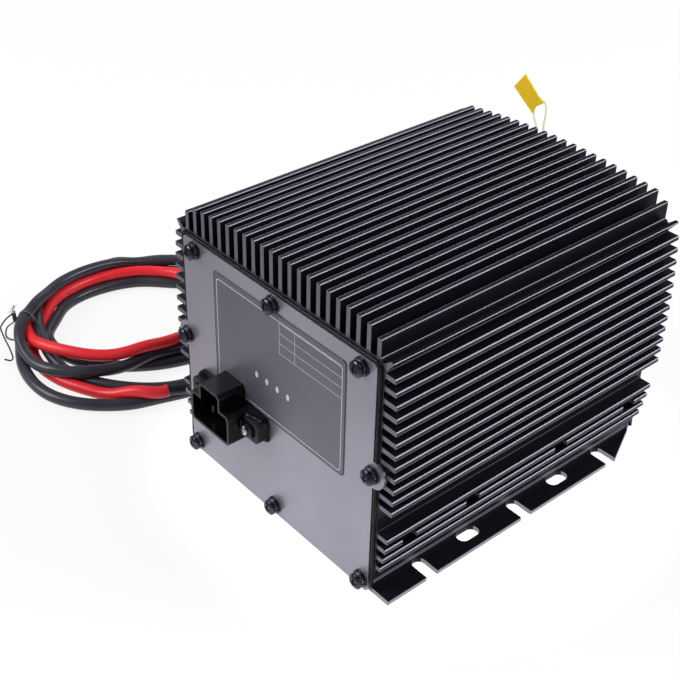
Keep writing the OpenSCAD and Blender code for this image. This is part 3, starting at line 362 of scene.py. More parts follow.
tie_wire = tie_tail + twisted(tie_knot_tip, tie_knot_base, tie_knot_radius, tie_knot_turns)
tie_wire += tie_over + tie_under
tie_wire += twisted(tie_knot_base, tie_knot_tip, tie_knot_radius, tie_knot_turns) + tie_free_end
tie_wire = smooth_line(tie_wire, tie_wire_spacing)
wire_black = finish("tie wire", (0.01, 0.01, 0.012), (0.02, 0.02, 0.023), 0.35, grain=1800)
wire_piece = wear_finish(tube("twist_tie_wire", tie_wire, tie_wire_radius, sides=2), wire_black)
film_clear = finish("tie film", (0.62, 0.62, 0.66), (0.75, 0.75, 0.8), 0.18, grain=900, patch=200,
                    depth=0.00003)
film_clear.node_tree.nodes["Principled BSDF"].inputs["Alpha"].default_value = 0.3
tie_width, film_spacing, film_thickness = 0.0022, 0.0009, 0.00012
film_direction = (0.743, -0.669, 0)
across = Vector(film_direction) * tie_width / 2
wing_left = [(-0.2445, -0.1299, 0.0145), (-0.2482, -0.1256, 0.0152), (-0.2515, -0.1206, 0.015)]
wing_right = [(-0.242, -0.1269, 0.0145), (-0.2452, -0.124, 0.0152), (-0.2488, -0.121, 0.015)]


def strip(mesh, left, right):
    """Adds a strip of film between two edges."""
    rows = [[mesh.verts.new(point) for point in pair]
            for pair in zip(smooth_line(left, film_spacing), smooth_line(right, film_spacing))]
    for a, b in zip(rows, rows[1:]):
        mesh.faces.new((a[0], a[1], b[1], b[0]))


def mesh_piece(name, mesh):
    """A piece with the faces of a bmesh."""
    data = bpy.data.meshes.new(name)
    mesh.to_mesh(data)
    piece = bpy.data.objects.new(name, data)
    scene.collection.objects.link(piece)
    return piece


film = bmesh.new()
for line in (tie_over, tie_under[2:] + [tuple(tie_knot_base)]):
    strip(film, [tuple(Vector(point) - across) for point in line],
          [tuple(Vector(point) + across) for point in line])
strip(film, wing_left, wing_right)
film_piece = wear_finish(mesh_piece("twist_tie_film", film), film_clear)
film_piece.modifiers.new("film", "SOLIDIFY").thickness = film_thickness
for piece in (wire_piece, film_piece):
    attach(piece, "root")
    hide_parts("coil_tie")
wear_finish(cad["coil_tie"], wire_black)


# Studio
# A white floor that dims away from the object in reflections, a broad lamp in front on the left, a
# strip behind on the right that draws the edges of the fins, and a rim lamp behind on the left.
studio_tint, rim_tint, pure_white = (0.955, 0.935, 1.0), (0.78, 0.8, 1.0), (1.0, 1.0, 1.0)
floor_reach, floor_height, floor_shown, floor_white = 6, -0.0004, 0.8, 1.06
glow_near, glow_far, glow_start, glow_end = 1.35, 0.3, 0.08, 0.4
air_level, air_gloss_drop = 0.44, 0.22


def colour_mix(tree, mask, a, b):
    """Colour a where the mask is 0 and colour b where it is 1; each is a colour or a socket."""
    mix = tree.nodes.new("ShaderNodeMix")
    mix.data_type = "RGBA"
    tree.links.new(mask, mix.inputs[0])
    for socket, colour in ((mix.inputs[6], a), (mix.inputs[7], b)):
        if isinstance(colour, tuple):
            socket.default_value = (*colour, 1)
        else:
            tree.links.new(colour, socket)
    return mix.outputs[2]


def seen_as(tree):
    """Masks of what is seen directly, also through clear film, and of what is reflected."""
    ray = tree.nodes.new("ShaderNodeLightPath")
    seen = arithmetic(tree, "MAXIMUM", ray.outputs["Is Camera Ray"],
                      ray.outputs["Is Transmission Ray"])
    return seen, ray.outputs["Is Glossy Ray"]


# White for the camera, dimmer away from the middle in reflections, and lit for the rest
studio_white = bpy.data.materials.new("studio white")
studio_white.use_nodes = True
tree = studio_white.node_tree
tree.nodes.clear()
direct, glossy = seen_as(tree)
lit = tree.nodes.new("ShaderNodeBsdfDiffuse")
lit.inputs["Color"].default_value = (0.8, 0.8, 0.8, 1)
away = tree.nodes.new("ShaderNodeVectorMath")
away.operation = "LENGTH"
tree.links.new(tree.nodes.new("ShaderNodeNewGeometry").outputs["Position"], away.inputs[0])
pool = tree.nodes.new("ShaderNodeMapRange")
tree.links.new(away.outputs["Value"], pool.inputs["Value"])
for label, value in (("From Min", glow_start), ("From Max", glow_end), ("To Min", glow_near),
                     ("To Max", glow_far)):
    pool.inputs[label].default_value = value
glow = tree.nodes.new("ShaderNodeEmission")
tree.links.new(colour_mix(tree, direct, studio_tint, pure_white), glow.inputs["Color"])
white = arithmetic(tree, "MULTIPLY", direct, floor_white)
tree.links.new(arithmetic(tree, "MAXIMUM", white, pool.outputs["Result"]), glow.inputs["Strength"])
shown = arithmetic(tree, "MULTIPLY", arithmetic(tree, "MAXIMUM", direct, glossy), floor_shown)
mix = tree.nodes.new("ShaderNodeMixShader")
for socket, value in zip(mix.inputs, (shown, lit.outputs[0], glow.outputs[0])):
    tree.links.new(value, socket)
output = tree.nodes.new("ShaderNodeOutputMaterial")
tree.links.new(mix.outputs[0], output.inputs["Surface"])

floor_mesh = bmesh.new()
floor_mesh.faces.new([floor_mesh.verts.new((x * floor_reach, y * floor_reach, floor_height))
                      for x, y in ((-1, -1), (1, -1), (1, 1), (-1, 1))])
floor = wear_finish(mesh_piece("studio_floor", floor_mesh), studio_white)

world = bpy.data.worlds.new("studio air")
scene.world = world
world.use_nodes = True
air = world.node_tree
sky = air.nodes["Background"]
air_seen, air_glossy = seen_as(air)
air.links.new(colour_mix(air, air_seen, studio_tint, pure_white), sky.inputs["Color"])
air_dim = arithmetic(air, "SUBTRACT", air_level,
                     arithmetic(air, "MULTIPLY", air_glossy, air_gloss_drop))
air.links.new(arithmetic(air, "MAXIMUM", air_seen, air_dim), sky.inputs["Strength"])


def lamp(name, place, aim, width, height, power, colour=studio_tint):
    """A rectangular studio lamp."""
    data = bpy.data.lights.new(name, "AREA")
    data.shape, data.size, data.size_y, data.energy = "RECTANGLE", width, height, power
    data.color = colour
    piece = bpy.data.objects.new(name, data)
    piece.location = place
    piece.rotation_euler = (Vector(aim) - Vector(place)).to_track_quat("-Z", "Y").to_euler()
    scene.collection.objects.link(piece)


lamp("front lamp", (-0.95, -1.25, 1.05), (0, 0, 0.07), width=0.9, height=0.9, power=17)
lamp("edge lamp", (0.95, 0.9, 1.1), (0, 0, 0.07), width=0.55, height=1.3, power=18)
lamp("rim lamp", (-1.14, 0.94, 0.86), (0, 0, 0.1), width=0.6, height=0.6, power=1.4,
     colour=rim_tint)


# Extruded housing
# One finned aluminium extrusion, sawn to length and anodised black, with fine lines from the die
# along its length. Its sawn ends are painted paler, partly for their cut finish and partly as a
# painted reflection of the front lamp, and its edges carry thin painted highlights, partly edge
# wear.
edge_rounding, weld_reach, flat_angle = 0.00034, 0.000005, 0.5
fin_pitch, upper_foot, lower_foot, lower_top = 0.007, 0.0575, 0.0175, 0.05
tips_from, tips_from_step, tips_low, top_tips_from = 0.083, 0.004, 0.0165, 0.152
# Places of the painted highlight lines on the fin tips, the wall's end edge, the top corner and the
# wall's foot
low_highlight_place, low_highlight_reach, top_highlight_place, top_highlight_reach = 0.07, 0.035, 0.335, 0.04
flange_top, flange_from = 0.0035, 0.0765
wall_highlight_place, wall_highlight_reach = 0.1421, 0.0007
corner_middle, corner_reach, corner_low, corner_highlight_to = 0.0762, 0.0017, 0.1405, 0.0751
foot_highlight_middle, foot_highlight_reach, flare_from = 0.0044, 0.0015, 0.0779
skin_dark, skin_light = (0.0065, 0.0062, 0.009), (0.0105, 0.01, 0.0145)
# The cut tones paint the sawn ends and the flange's cut edges paler: partly their cut finish,
# partly a painted reflection of the front lamp
cut_and_lit_dark, cut_and_lit_light, flange_cut_lit_tone = (0.15, 0.146, 0.168), (0.21, 0.204, 0.232), (0.34, 0.33, 0.355)
# Painted highlight tones for the lines on the fin tips, the wall's foot and the edges; the lightest
# is partly edge wear
low_highlight_tone, foot_highlight_tone, wear_and_highlight_tone = (0.12, 0.116, 0.136), (0.19, 0.183, 0.214), (0.56, 0.543, 0.61)
wear_and_highlight_roughness, flare_roughness, cut_and_lit_metal, wear_and_highlight_metal = 0.3, 0.6, 0.6, 0.5
end_facing, side_facing, cut_facing, under_facing = 0.85, 0.9, 0.3, -0.1
line_stretch, line_depth, skin_specular = 0.012, 0.000006, 0.13
picked_angle, picked_length, picked_slant = 40, 0.009, 0.0001


def soften(piece, width, segments=2, angle=35):
    """Rounds a CAD piece's edges a little, as anodising, moulding or stamping leaves them."""
    weld = piece.modifiers.new("joined", "WELD")
    weld.merge_threshold = weld_reach
    flat = piece.modifiers.new("flat faces", "DECIMATE")
    flat.decimate_type, flat.angle_limit = "DISSOLVE", math.radians(flat_angle)
    bevel = piece.modifiers.new("soft edges", "BEVEL")
    bevel.width, bevel.segments, bevel.limit_method = width, segments, "ANGLE"
    bevel.angle_limit, bevel.harden_normals = math.radians(angle), True
    return piece


def over(tree, value, limit):
    """A mask that is 1 where the value is over the limit."""
    return arithmetic(tree, "GREATER_THAN", value, limit)


def under(tree, value, limit):
    """A mask that is 1 where the value is under the limit."""
    return arithmetic(tree, "LESS_THAN", value, limit)


def around(tree, value, middle, reach):
    """A mask that is 1 where the value is within reach of the middle."""
    return arithmetic(tree, "COMPARE", value, middle, reach)


def size_of(tree, value):
    """The value without its sign."""
    return arithmetic(tree, "ABSOLUTE", value)


def both(tree, mask, *others):
    """A mask that is 1 where all the masks are 1."""
    for other in others:
        mask = arithmetic(tree, "MULTIPLY", mask, other)
    return mask


def either(tree, mask, *others):
    """A mask that is 1 where one of the masks is 1."""
    for other in others:
        mask = arithmetic(tree, "MAXIMUM", mask, other)
    return mask


def parts_of(tree, kind, output):
    """The X, Y and Z of an input node's vector."""
    parts = tree.nodes.new("ShaderNodeSeparateXYZ")
    tree.links.new(tree.nodes.new(kind).outputs[output], parts.inputs[0])
    return parts.outputs


# Group: fine lines along Y, as the die leaves them
die_tree, die_in, die_out = node_group(
    "lines along the die", {"Fineness": 900, "Wander": 6, "Roughness": 0.4, "Spread": 0.15},
    ("Height", "Mask", "Roughness"))
die_place = die_tree.nodes.new("ShaderNodeTexCoord").outputs["Object"]
die_stretch = die_tree.nodes.new("ShaderNodeMapping")
die_stretch.inputs["Scale"].default_value = (1, line_stretch, 1)
die_tree.links.new(die_place, die_stretch.inputs["Vector"])
die_lines = noise(die_tree, die_stretch.outputs["Vector"], die_in.outputs["Fineness"], detail=3)
die_cloud = noise(die_tree, die_place, die_in.outputs["Wander"], detail=2)
die_tree.links.new(die_lines, die_out.inputs["Height"])
die_tree.links.new(arithmetic(die_tree, "MULTIPLY", die_lines, die_cloud), die_out.inputs["Mask"])
die_rise = arithmetic(die_tree, "SUBTRACT", die_lines, 0.5)
die_rise = arithmetic(die_tree, "MULTIPLY", die_rise, die_in.outputs["Spread"])
die_tree.links.new(arithmetic(die_tree, "ADD", die_in.outputs["Roughness"], die_rise),
                   die_out.inputs["Roughness"])

# Group: slanting faces, those that run along Y and those round a face that looks along Y
edge_tree, edge_in, edge_out = node_group(
    "edges of a softened piece", {"Reach": 0.25}, ("Along Y", "Round Y"))
edge_x, edge_y, edge_z = [size_of(edge_tree, part) for part in parts_of(
    edge_tree, "ShaderNodeNewGeometry", "True Normal")]
edge_side = arithmetic(edge_tree, "SUBTRACT", 1, arithmetic(edge_tree, "POWER", edge_y, 2))
edge_side = arithmetic(edge_tree, "SQRT", edge_side)
for label, first, second in (("Along Y", edge_x, edge_z), ("Round Y", edge_y, edge_side)):
    slant = arithmetic(edge_tree, "MINIMUM", first, second)
    edge_tree.links.new(over(edge_tree, slant, edge_in.outputs["Reach"]), edge_out.inputs[label])

anodised = bpy.data.materials.new("black anodised extrusion")
anodised.use_nodes = True
tree = anodised.node_tree
shader = tree.nodes["Principled BSDF"]
die = placed(tree, die_tree, Fineness=1400, Wander=14, Roughness=0.3, Spread=0.2)
saw = placed(tree, grain_tree, Grain_scale=2600, Patch_scale=22, Roughness=0.42, Spread=0.2)
edges = placed(tree, edge_tree)
along, round_end = edges.outputs["Along Y"], edges.outputs["Round Y"]
facing = parts_of(tree, "ShaderNodeNewGeometry", "True Normal")
facing_x, facing_y, facing_z = [size_of(tree, part) for part in facing]
place = parts_of(tree, "ShaderNodeTexCoord", "Object")
outward, height = size_of(tree, place["X"]), place["Z"]

# Where the section's parts lie
low_part = under(tree, height, lower_top)
tips_side = arithmetic(tree, "SUBTRACT", tips_from,
                       arithmetic(tree, "MULTIPLY", low_part, tips_from_step))
tips = either(tree, over(tree, height, top_tips_from), over(tree, outward, tips_side))
tips = both(tree, tips, over(tree, height, flange_top), over(tree, facing["Z"], under_facing))
side_face = over(tree, facing_x, side_facing)
tip_face = both(tree, side_face, over(tree, outward, tips_side), over(tree, height, tips_low))
corner_face = both(tree, around(tree, outward, corner_middle, corner_reach), along,
                   over(tree, height, corner_low))
flare = both(tree, over(tree, outward, flare_from), under(tree, outward, tips_side), low_part,
             along)
# The flange's cut edges and the sawn ends, painted paler: partly their cut finish, partly a painted
# reflection of the front lamp
flange_cut_lit = both(tree, under(tree, height, flange_top), under(tree, facing_z, cut_facing),
                  over(tree, outward, flange_from))
sawn_and_lit = either(tree, over(tree, facing_y, end_facing), flange_cut_lit)

# Painted highlight lines on the tips of the side fins, by how high they lie above each fin's foot
foot = arithmetic(tree, "SUBTRACT", upper_foot,
                  arithmetic(tree, "MULTIPLY", low_part, upper_foot - lower_foot))
above_foot = arithmetic(tree, "DIVIDE", arithmetic(tree, "SUBTRACT", height, foot), fin_pitch)
above_foot = arithmetic(tree, "FRACT", above_foot)
low_highlight = both(tree, around(tree, above_foot, low_highlight_place, low_highlight_reach), tip_face)
top_highlight = both(tree, around(tree, above_foot, top_highlight_place, top_highlight_reach), tip_face)
# A painted highlight band low on the side wall, standing in for the light on a small fillet at the
# wall's foot that is not modelled
foot_highlight = both(tree, around(tree, height, foot_highlight_middle, foot_highlight_reach), side_face)
# Lighter edges along the fin tips, the wall's end edge and the top corner, with the upper line on
# each side fin's tip: edge wear and painted highlight together
wear_and_highlight = either(tree, both(tree, along, tips), top_highlight,
              both(tree, round_end, around(tree, height, wall_highlight_place, wall_highlight_reach)),
              both(tree, corner_face, under(tree, outward, corner_highlight_to)))

skin = colour_mix(tree, die.outputs["Mask"], skin_dark, skin_light)
# The lower painted highlight line on each side fin's tip, then the painted highlight band on the
# wall's foot
skin = colour_mix(tree, low_highlight, skin, low_highlight_tone)
skin = colour_mix(tree, foot_highlight, skin, foot_highlight_tone)
# Paler tone of the sawn ends and flange cut edges: partly cut finish, partly painted reflection of
# the front lamp
cut_and_lit_tone = colour_mix(tree, saw.outputs["Patch"], cut_and_lit_dark, cut_and_lit_light)
cut_and_lit_tone = colour_mix(tree, flange_cut_lit, cut_and_lit_tone, flange_cut_lit_tone)
tone = colour_mix(tree, wear_and_highlight, colour_mix(tree, sawn_and_lit, skin, cut_and_lit_tone), wear_and_highlight_tone)
tree.links.new(tone, shader.inputs["Base Color"])
matt = either(tree, arithmetic(tree, "MULTIPLY", wear_and_highlight, wear_and_highlight_roughness),
              arithmetic(tree, "MULTIPLY", either(tree, corner_face, flare), flare_roughness))
tree.links.new(arithmetic(tree, "ADD", die.outputs["Roughness"], matt), shader.inputs["Roughness"])
# Metallic share of the sawn faces painted paler, and of the worn edges with their painted highlight
bare = either(tree, arithmetic(tree, "MULTIPLY", sawn_and_lit, cut_and_lit_metal),
              arithmetic(tree, "MULTIPLY", wear_and_highlight, wear_and_highlight_metal))
tree.links.new(bare, shader.inputs["Metallic"])
bump = tree.nodes.new("ShaderNodeBump")
bump.inputs["Distance"].default_value = line_depth
tree.links.new(die.outputs["Height"], bump.inputs["Height"])
tree.links.new(bump.outputs["Normal"], shader.inputs["Normal"])
shader.inputs["Specular IOR Level"].default_value = skin_specular
wear_finish(soften(cad["housing"], edge_rounding), anodised)

# Only the long outer edges along Y are rounded, because slots and holes begin too close to others
picker = bpy.data.node_groups.new("long edges", "GeometryNodeTree")
for direction in ("INPUT", "OUTPUT"):
    picker.interface.new_socket(name="Mesh", in_out=direction, socket_type="NodeSocketGeometry")
picker_in, picker_out = picker.nodes.new("NodeGroupInput"), picker.nodes.new("NodeGroupOutput")
ends = picker.nodes.new("GeometryNodeInputMeshEdgeVertices")
span = picker.nodes.new("ShaderNodeVectorMath")
span.operation = "SUBTRACT"
for socket, end in zip(span.inputs, ("Position 1", "Position 2")):
    picker.links.new(ends.outputs[end], socket)
span_parts = picker.nodes.new("ShaderNodeSeparateXYZ")
picker.links.new(span.outputs[0], span_parts.inputs[0])
span_x, span_y, span_z = [size_of(picker, part) for part in span_parts.outputs]
convex = picker.nodes.new("GeometryNodeInputMeshEdgeAngle").outputs["Signed Angle"]
picked = both(picker, over(picker, convex, math.radians(picked_angle)),
              over(picker, span_y, picked_length), under(picker, span_x, picked_slant),
              under(picker, span_z, picked_slant))
weigh = picker.nodes.new("GeometryNodeStoreNamedAttribute")
weigh.data_type, weigh.domain = "FLOAT", "EDGE"
weigh.inputs["Name"].default_value = "bevel_weight_edge"
picker.links.new(picker_in.outputs[0], weigh.inputs["Geometry"])
picker.links.new(picked, weigh.inputs["Value"])
picker.links.new(weigh.outputs[0], picker_out.inputs[0])
rounding = cad["housing"].modifiers["soft edges"]
rounding.limit_method, rounding.use_clamp_overlap = "WEIGHT", False
cad["housing"].modifiers.new("long edges", "NODES").node_group = picker
cad["housing"].modifiers.move(3, 2)


# End plates and their seals
# Two 1.75 mm aluminium plates with a satin grey finish, each screwed on over a black rubber seal.
plate_rounding = 0.00025
plate_finish = finish("satin plate", (0.322, 0.308, 0.35), (0.384, 0.372, 0.421), 0.36,
                      metallic=0.75, grain=1800, patch=14, depth=0.000012, spread=0.12)
for node in ("front_plate", "rear_plate"):
    wear_finish(soften(cad[node], plate_rounding), plate_finish)
seal_rubber = finish("seal rubber", (0.008, 0.008, 0.01), (0.016, 0.016, 0.018), 0.6, grain=1600)
for node in ("front_gasket", "rear_gasket"):
    wear_finish(cad[node], seal_rubber)


# Sealant round the plates
# Black silicone is pressed by hand into the step between each plate's edge and the housing, so its
# width wanders.
sealant_black = finish("black sealant", (0.0025, 0.0024, 0.0036), (0.0055, 0.0052, 0.0075), 0.24,
                       grain=500, patch=70, depth=0.00006, specular=0.2)
bead_x, bead_y, bead_low, bead_top, bead_corner = 0.0763, 0.1012, 0.004, 0.1412, 0.0018
bead_radius, bead_step, bead_fullness, bead_unevenness = 0.00095, 0.0018, 1.05, 0.22
bead_path = [(-bead_x, bead_low), (-bead_x, bead_top - bead_corner),
             (-bead_x + bead_corner, bead_top), (bead_x - bead_corner, bead_top),
             (bead_x, bead_top - bead_corner), (bead_x, bead_low)]


def wander(distance, seed):
    """A slow wave of about one either way, for work that is done by hand."""
    waves = ((0.5, 170, 1), (0.3, 410, 2.3), (0.2, 960, 4.1))
    return sum(share * math.sin(rate * distance + shift * seed) for share, rate, shift in waves)


for end, side in (("front", -1), ("rear", 1)):
    line = []
    for (ax, az), (bx, bz) in zip(bead_path, bead_path[1:]):
        steps = max(2, int(math.hypot(bx - ax, bz - az) / bead_step))
        line += [(ax + (bx - ax) * k / steps, side * bead_y, az + (bz - az) * k / steps)
                 for k in range(steps)]
    bead = wear_finish(tube(end + "_plate_sealant", line, bead_radius, sides=3), sealant_black)
    for k, point in enumerate(bead.data.splines[0].points):
        point.radius = bead_fullness + bead_unevenness * wander(bead_step * k, 3 + side)
    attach(bead, "root")


# Plate screws and washers
# Blackened pan head screws with a cross recess, each over a split spring washer and a flat washer;
# the spring washers are painted paler, a painted highlight for the bright edges of the washer
# stack.
black_steel = finish("blackened steel", (0.045, 0.043, 0.052), (0.085, 0.082, 0.098), 0.2,
                     metallic=1.0, grain=1500, patch=260, depth=0.00001, spread=0.1)
# A paler copy of the blackened steel, painted highlight for the spring washers' bright edges
highlit_spring_steel = finish("paler painted spring steel", (0.16, 0.153, 0.18), (0.24, 0.23, 0.27), 0.22, metallic=1.0,
                      grain=1500, patch=260, depth=0.00001, spread=0.1)
screw_rounding = 0.00018
for node, steel in (("front_plate_screws", black_steel), ("rear_plate_screws", black_steel),
                    ("flat_washers", black_steel), ("lock_washers", highlit_spring_steel)):
    wear_finish(soften(cad[node], screw_rounding), steel)


# Front label
# A grey printed film stuck to the plate, with a white rule round its edge and an empty table.
label_film = finish("label film", (0.131, 0.127, 0.15), (0.153, 0.148, 0.175), 0.38, metallic=0.45,
                    grain=2200, patch=12, depth=0.000006, spread=0.1)
wear_finish(cad["front_label"], label_film)
print_white = finish("printed white", (0.62, 0.62, 0.66), (0.74, 0.74, 0.78), 0.5, grain=2500,
                     patch=400, depth=0.000004)
# A dark line round the label's edge
dark_edge_line = finish("dark edge line", (0.03, 0.03, 0.036), (0.045, 0.045, 0.052), 0.4,
                    grain=2500)
label_low, label_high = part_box("front_label")
ink_gap, ink_thickness = 0.00004, 0.00003
print_y = label_low.y - ink_gap
rule_left, rule_right, rule_low, rule_top = -0.046, 0.0523, 0.0645, 0.1273
rule_width, rule_corner, border_width, table_line = 0.0004, 0.0022, 0.0005, 0.00022
notch_left, notch_right = -0.0432, -0.0234
table_columns, table_rows = (0.0055, 0.0175, 0.0523), (0.1087, 0.1147, 0.1206, 0.1266)


def ribbon(mesh, points, width, closed=False):
    """Adds a flat line through points given as X and Z, on the label's face."""
    points = [Vector(point) for point in points]
    last = len(points) - 1
    rows = []
    for k, point in enumerate(points):
        before = points[k - 1] if closed or k > 0 else point
        after = points[(k + 1) % len(points)] if closed or k < last else point
        along = (after - before).normalized()
        across = Vector((-along.y, along.x)) * width / 2
        rows.append([mesh.verts.new((p.x, print_y, p.y)) for p in (point + across, point - across)])
    for k in range(len(points) if closed else last):
        a, b = rows[k], rows[(k + 1) % len(points)]
        mesh.faces.new((a[0], a[1], b[1], b[0]))


def arc(middle, radius, start, end, count=6):
    """Points of an arc, from one angle in degrees to another."""
    return [(middle[0] + radius * math.cos(math.radians(start + (end - start) * k / count)),
             middle[1] + radius * math.sin(math.radians(start + (end - start) * k / count)))
            for k in range(count + 1)]


def rounded(left, right, low, top):
    """Points round a rectangle with rounded corners, from its low right corner."""
    points = []
    left, right = left + rule_corner, right - rule_corner
    low, top = low + rule_corner, top - rule_corner
    for quarter, middle in enumerate(((right, low), (right, top), (left, top), (left, low))):
        points += arc(middle, rule_corner, 90 * quarter - 90, 90 * quarter)
    return points


artwork, border = bmesh.new(), bmesh.new()
ribbon(artwork, [(notch_right, rule_low)] + rounded(rule_left, rule_right, rule_low, rule_top)
       + [(notch_left, rule_low)], rule_width)
inset = border_width / 2
ribbon(border, rounded(label_low.x + inset, label_high.x - inset, label_low.z + inset,
                       label_high.z - inset), border_width, closed=True)
for z in table_rows:
    ribbon(artwork, [(table_columns[0], z), (table_columns[-1], z)], table_line)
for x in table_columns:
    ribbon(artwork, [(x, table_rows[0]), (x, table_rows[-1])], table_line)
for name, mesh, line_finish in (("label_marking", artwork, print_white),
                        ("label_border", border, dark_edge_line)):
    bmesh.ops.recalc_face_normals(mesh, faces=mesh.faces)
    label_marking = wear_finish(mesh_piece(name, mesh), line_finish)
    label_marking.modifiers.new("line_finish", "SOLIDIFY").thickness = ink_thickness
    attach(label_marking, "root")


# Indicators
# Four white lenses in the label, with their lamps and board on posts behind the plate.
lens_plastic = finish("lens plastic", (0.56, 0.56, 0.59), (0.64, 0.64, 0.67), 0.3, grain=1500,
                      coat=0.3)
wear_finish(cad["indicator_lenses"], lens_plastic)


# Mains inlet
# A moulded black inlet with three plated blades, held through its ears by two bright screws; the
# rims of the moulding get a paler painted highlight.
inlet_rounding, spacer_rounding, inlet_screw_rounding = 0.0003, 0.0006, 0.00015
inlet_plastic = finish("inlet moulding", (0.0025, 0.0024, 0.0035), (0.005, 0.0048, 0.0068), 0.24,
                       grain=1300, patch=60, depth=0.00002, specular=0.26)
# Painted highlight tone for the rims of the moulding
rim_highlight_tone = (0.3, 0.29, 0.34)
tree = inlet_plastic.node_tree
tone_socket = tree.nodes["Principled BSDF"].inputs["Base Color"]
moulded_tone = tone_socket.links[0].from_socket
rim_highlights = placed(tree, edge_tree, Reach=0.55)
rim_highlighted_tone = colour_mix(tree, rim_highlights.outputs["Round Y"], moulded_tone, rim_highlight_tone)
tree.links.new(rim_highlighted_tone, tone_socket)
wear_finish(soften(cad["inlet_body"], inlet_rounding), inlet_plastic)
wear_finish(soften(cad["inlet_spacers"], spacer_rounding), seal_rubber)
blade_metal = finish("dull plated blades", (0.1, 0.095, 0.085), (0.16, 0.15, 0.13), 0.4,
                     metallic=1.0, grain=1400, patch=200, depth=0.00001)
wear_finish(cad["inlet_blades"], blade_metal)
bright_steel = finish("zinc plated steel", (0.5, 0.5, 0.52), (0.68, 0.68, 0.7), 0.24, metallic=1.0,
                      grain=1400, patch=220, depth=0.00001)
for node in ("inlet_screws", "inlet_nuts"):
    wear_finish(soften(cad[node], inlet_screw_rounding), bright_steel)

# Sealant round the inlet, as rows of outer X and Z, inner X and Z, and height in millimetres
collar_rows = [
    (-0.0635, 0.046, -0.0619, 0.0476, 2), (-0.0642, 0.0505, -0.0623, 0.051, 3),
    (-0.0636, 0.056, -0.0623, 0.056, 4), (-0.0622, 0.0607, -0.0612, 0.0596, 4),
    (-0.056, 0.0622, -0.056, 0.0602, 5), (-0.048, 0.0616, -0.048, 0.0602, 6.5),
    (-0.041, 0.0628, -0.041, 0.0602, 7), (-0.033, 0.0624, -0.033, 0.0602, 6.6),
    (-0.024, 0.0628, -0.024, 0.0602, 6), (-0.015, 0.0624, -0.015, 0.0602, 6),
    (-0.0085, 0.0621, -0.009, 0.0602, 5), (-0.0042, 0.0612, -0.005, 0.0597, 4),
    (-0.0035, 0.0565, -0.0043, 0.056, 3), (-0.0038, 0.051, -0.0043, 0.051, 3),
    (-0.0042, 0.0466, -0.005, 0.0478, 2), (-0.009, 0.0456, -0.009, 0.0472, 2),
    (-0.02, 0.0462, -0.02, 0.0472, 2), (-0.033, 0.0454, -0.033, 0.0472, 2),
    (-0.046, 0.0461, -0.046, 0.0472, 2), (-0.056, 0.0455, -0.056, 0.0472, 2),
]
plate_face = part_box("front_plate")[0].y
collar_cuts, collar_steps, collar_step, collar_unevenness = 5, 6, 0.0016, 0.12
collar_count, collar_skin = len(collar_rows), 0.0004
collar = bmesh.new()
rings = []
for k in range(collar_count * collar_cuts):
    i, t = divmod(k, collar_cuts)
    before, a, b, after = [np.array(collar_rows[(i + step) % collar_count])
                           for step in (-1, 0, 1, 2)]
    t /= collar_cuts
    row = 0.5 * (2 * a + (b - before) * t + (2 * before - 5 * a + 4 * b - after) * t**2
                 + (3 * a - before - 3 * b + after) * t**3)
    swell = 1 + collar_unevenness * wander(collar_step * k, 1.7)
    ring = []
    for j in range(collar_steps + 1):
        turn = math.pi / 2 * j / collar_steps
        reach = (1 - math.cos(turn)) / swell
        ring.append(collar.verts.new((row[0] + (row[2] - row[0]) * reach,
                                      plate_face - 0.001 * row[4] * swell * math.sin(turn),
                                      row[1] + (row[3] - row[1]) * reach)))
    rings.append(ring)
for a, b in zip(rings, rings[1:] + rings[:1]):
    for j in range(collar_steps):
        face = collar.faces.new((a[j], b[j], b[j + 1], a[j + 1]))
        face.smooth = True
bmesh.ops.recalc_face_normals(collar, faces=collar.faces)
inlet_sealant = wear_finish(mesh_piece("inlet_sealant", collar), sealant_black)
inlet_sealant.modifiers.new("thickness", "SOLIDIFY").thickness = collar_skin
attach(inlet_sealant, "root")


# Strain reliefs
# Three moulded rubber reliefs in the rear plate, each gripping one lead.
wear_finish(cad["strain_reliefs"], seal_rubber)


# Tag
# A plain yellow plastic tag, thin enough to let light through, on a loop of pale clear string round
# a screw of the rear plate.
tag_plastic = finish("tag plastic", (1.0, 0.66, 0.02), (1.0, 0.72, 0.03), 0.42, grain=1400,
                     patch=420)
tag_shader = tag_plastic.node_tree.nodes["Principled BSDF"]
tag_shader.inputs["Subsurface Weight"].default_value = 1.0
tag_shader.inputs["Subsurface Radius"].default_value = (1.0, 0.6, 0.15)
tag_shader.inputs["Subsurface Scale"].default_value = 0.0015
wear_finish(cad["tag"], tag_plastic)
string_plastic = finish("tag string", (0.98, 0.9, 0.45), (1.0, 0.94, 0.55), 0.5, grain=1600,
                        patch=400)
string_plastic.node_tree.nodes["Principled BSDF"].inputs["Alpha"].default_value = 0.4
wear_finish(cad["tag_string"], string_plastic)


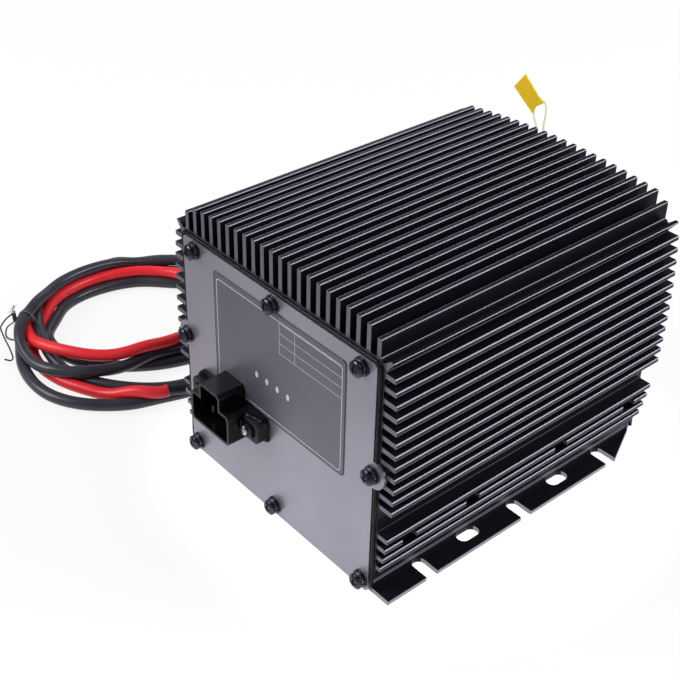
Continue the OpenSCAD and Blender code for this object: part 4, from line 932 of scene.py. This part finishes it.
# Parts inside
# The main board on brass standoffs, with the transformer, chokes, capacitors and power devices.
board_green = finish("circuit board", (0.008, 0.07, 0.02), (0.015, 0.11, 0.035), 0.35, grain=800,
                     patch=160)
ferrite = finish("ferrite", (0.03, 0.03, 0.032), (0.05, 0.05, 0.055), 0.55, grain=1800, patch=150)
iron_powder = finish("coated iron powder", (0.5, 0.42, 0.06), (0.62, 0.52, 0.09), 0.5, grain=900)
tape = finish("yellow tape", (0.75, 0.5, 0.04), (0.85, 0.6, 0.07), 0.35, grain=600, patch=80)
brass = finish("bare brass", (0.62, 0.5, 0.28), (0.75, 0.63, 0.38), 0.25, metallic=1.0, grain=1400,
               patch=200, depth=0.00001)
copper = finish("enamelled copper", (0.5, 0.18, 0.07), (0.68, 0.27, 0.11), 0.28, metallic=1.0,
                grain=1200, patch=300, depth=0.00006)
nylon = finish("white nylon", (0.7, 0.7, 0.66), (0.8, 0.8, 0.76), 0.45, grain=1000)
can_sleeve = finish("capacitor sleeve", (0.012, 0.014, 0.05), (0.02, 0.022, 0.075), 0.25, grain=900)
film_box = finish("film capacitor", (0.65, 0.5, 0.1), (0.75, 0.6, 0.15), 0.4, grain=1000)
black_plastic = finish("black plastic", (0.012, 0.012, 0.014), (0.024, 0.024, 0.027), 0.45,
                       grain=1400)
pad_grey = finish("heat pad", (0.3, 0.32, 0.36), (0.38, 0.4, 0.44), 0.7, grain=1600)
blue_plastic = finish("relay case", (0.02, 0.12, 0.45), (0.03, 0.16, 0.55), 0.35, grain=1200)
green_plastic = finish("terminal moulding", (0.02, 0.22, 0.06), (0.03, 0.3, 0.09), 0.4, grain=1200)
fuse_glass = finish("fuse tube", (0.55, 0.55, 0.5), (0.7, 0.7, 0.64), 0.2, grain=1000)
inner_finishes = {
    board_green: ("indicator_board", "main_board", "control_board"),
    nylon: ("indicator_posts", "transformer_bobbin"),
    lens_plastic: ("indicator_lamps",),
    brass: ("board_standoffs", "fuse_clips"),
    bright_steel: ("board_screws", "clamp_bars", "clamp_screws"),
    ferrite: ("transformer_core", "line_choke_core"),
    iron_powder: ("input_choke_core", "output_choke_core"),
    tape: ("transformer_winding",),
    copper: ("input_choke_winding", "output_choke_winding", "line_choke_winding"),
    can_sleeve: ("bulk_capacitors", "output_capacitors"),
    film_box: ("line_capacitors",),
    fuse_glass: ("fuse",),
    black_plastic: ("bridge_rectifier", "power_transistors", "output_diodes", "control_chip"),
    pad_grey: ("heat_pads",),
    blue_plastic: ("charge_relay",),
    green_plastic: ("terminal_block",),
}
for material, nodes in inner_finishes.items():
    for node in nodes:
        wear_finish(cad[node], material)
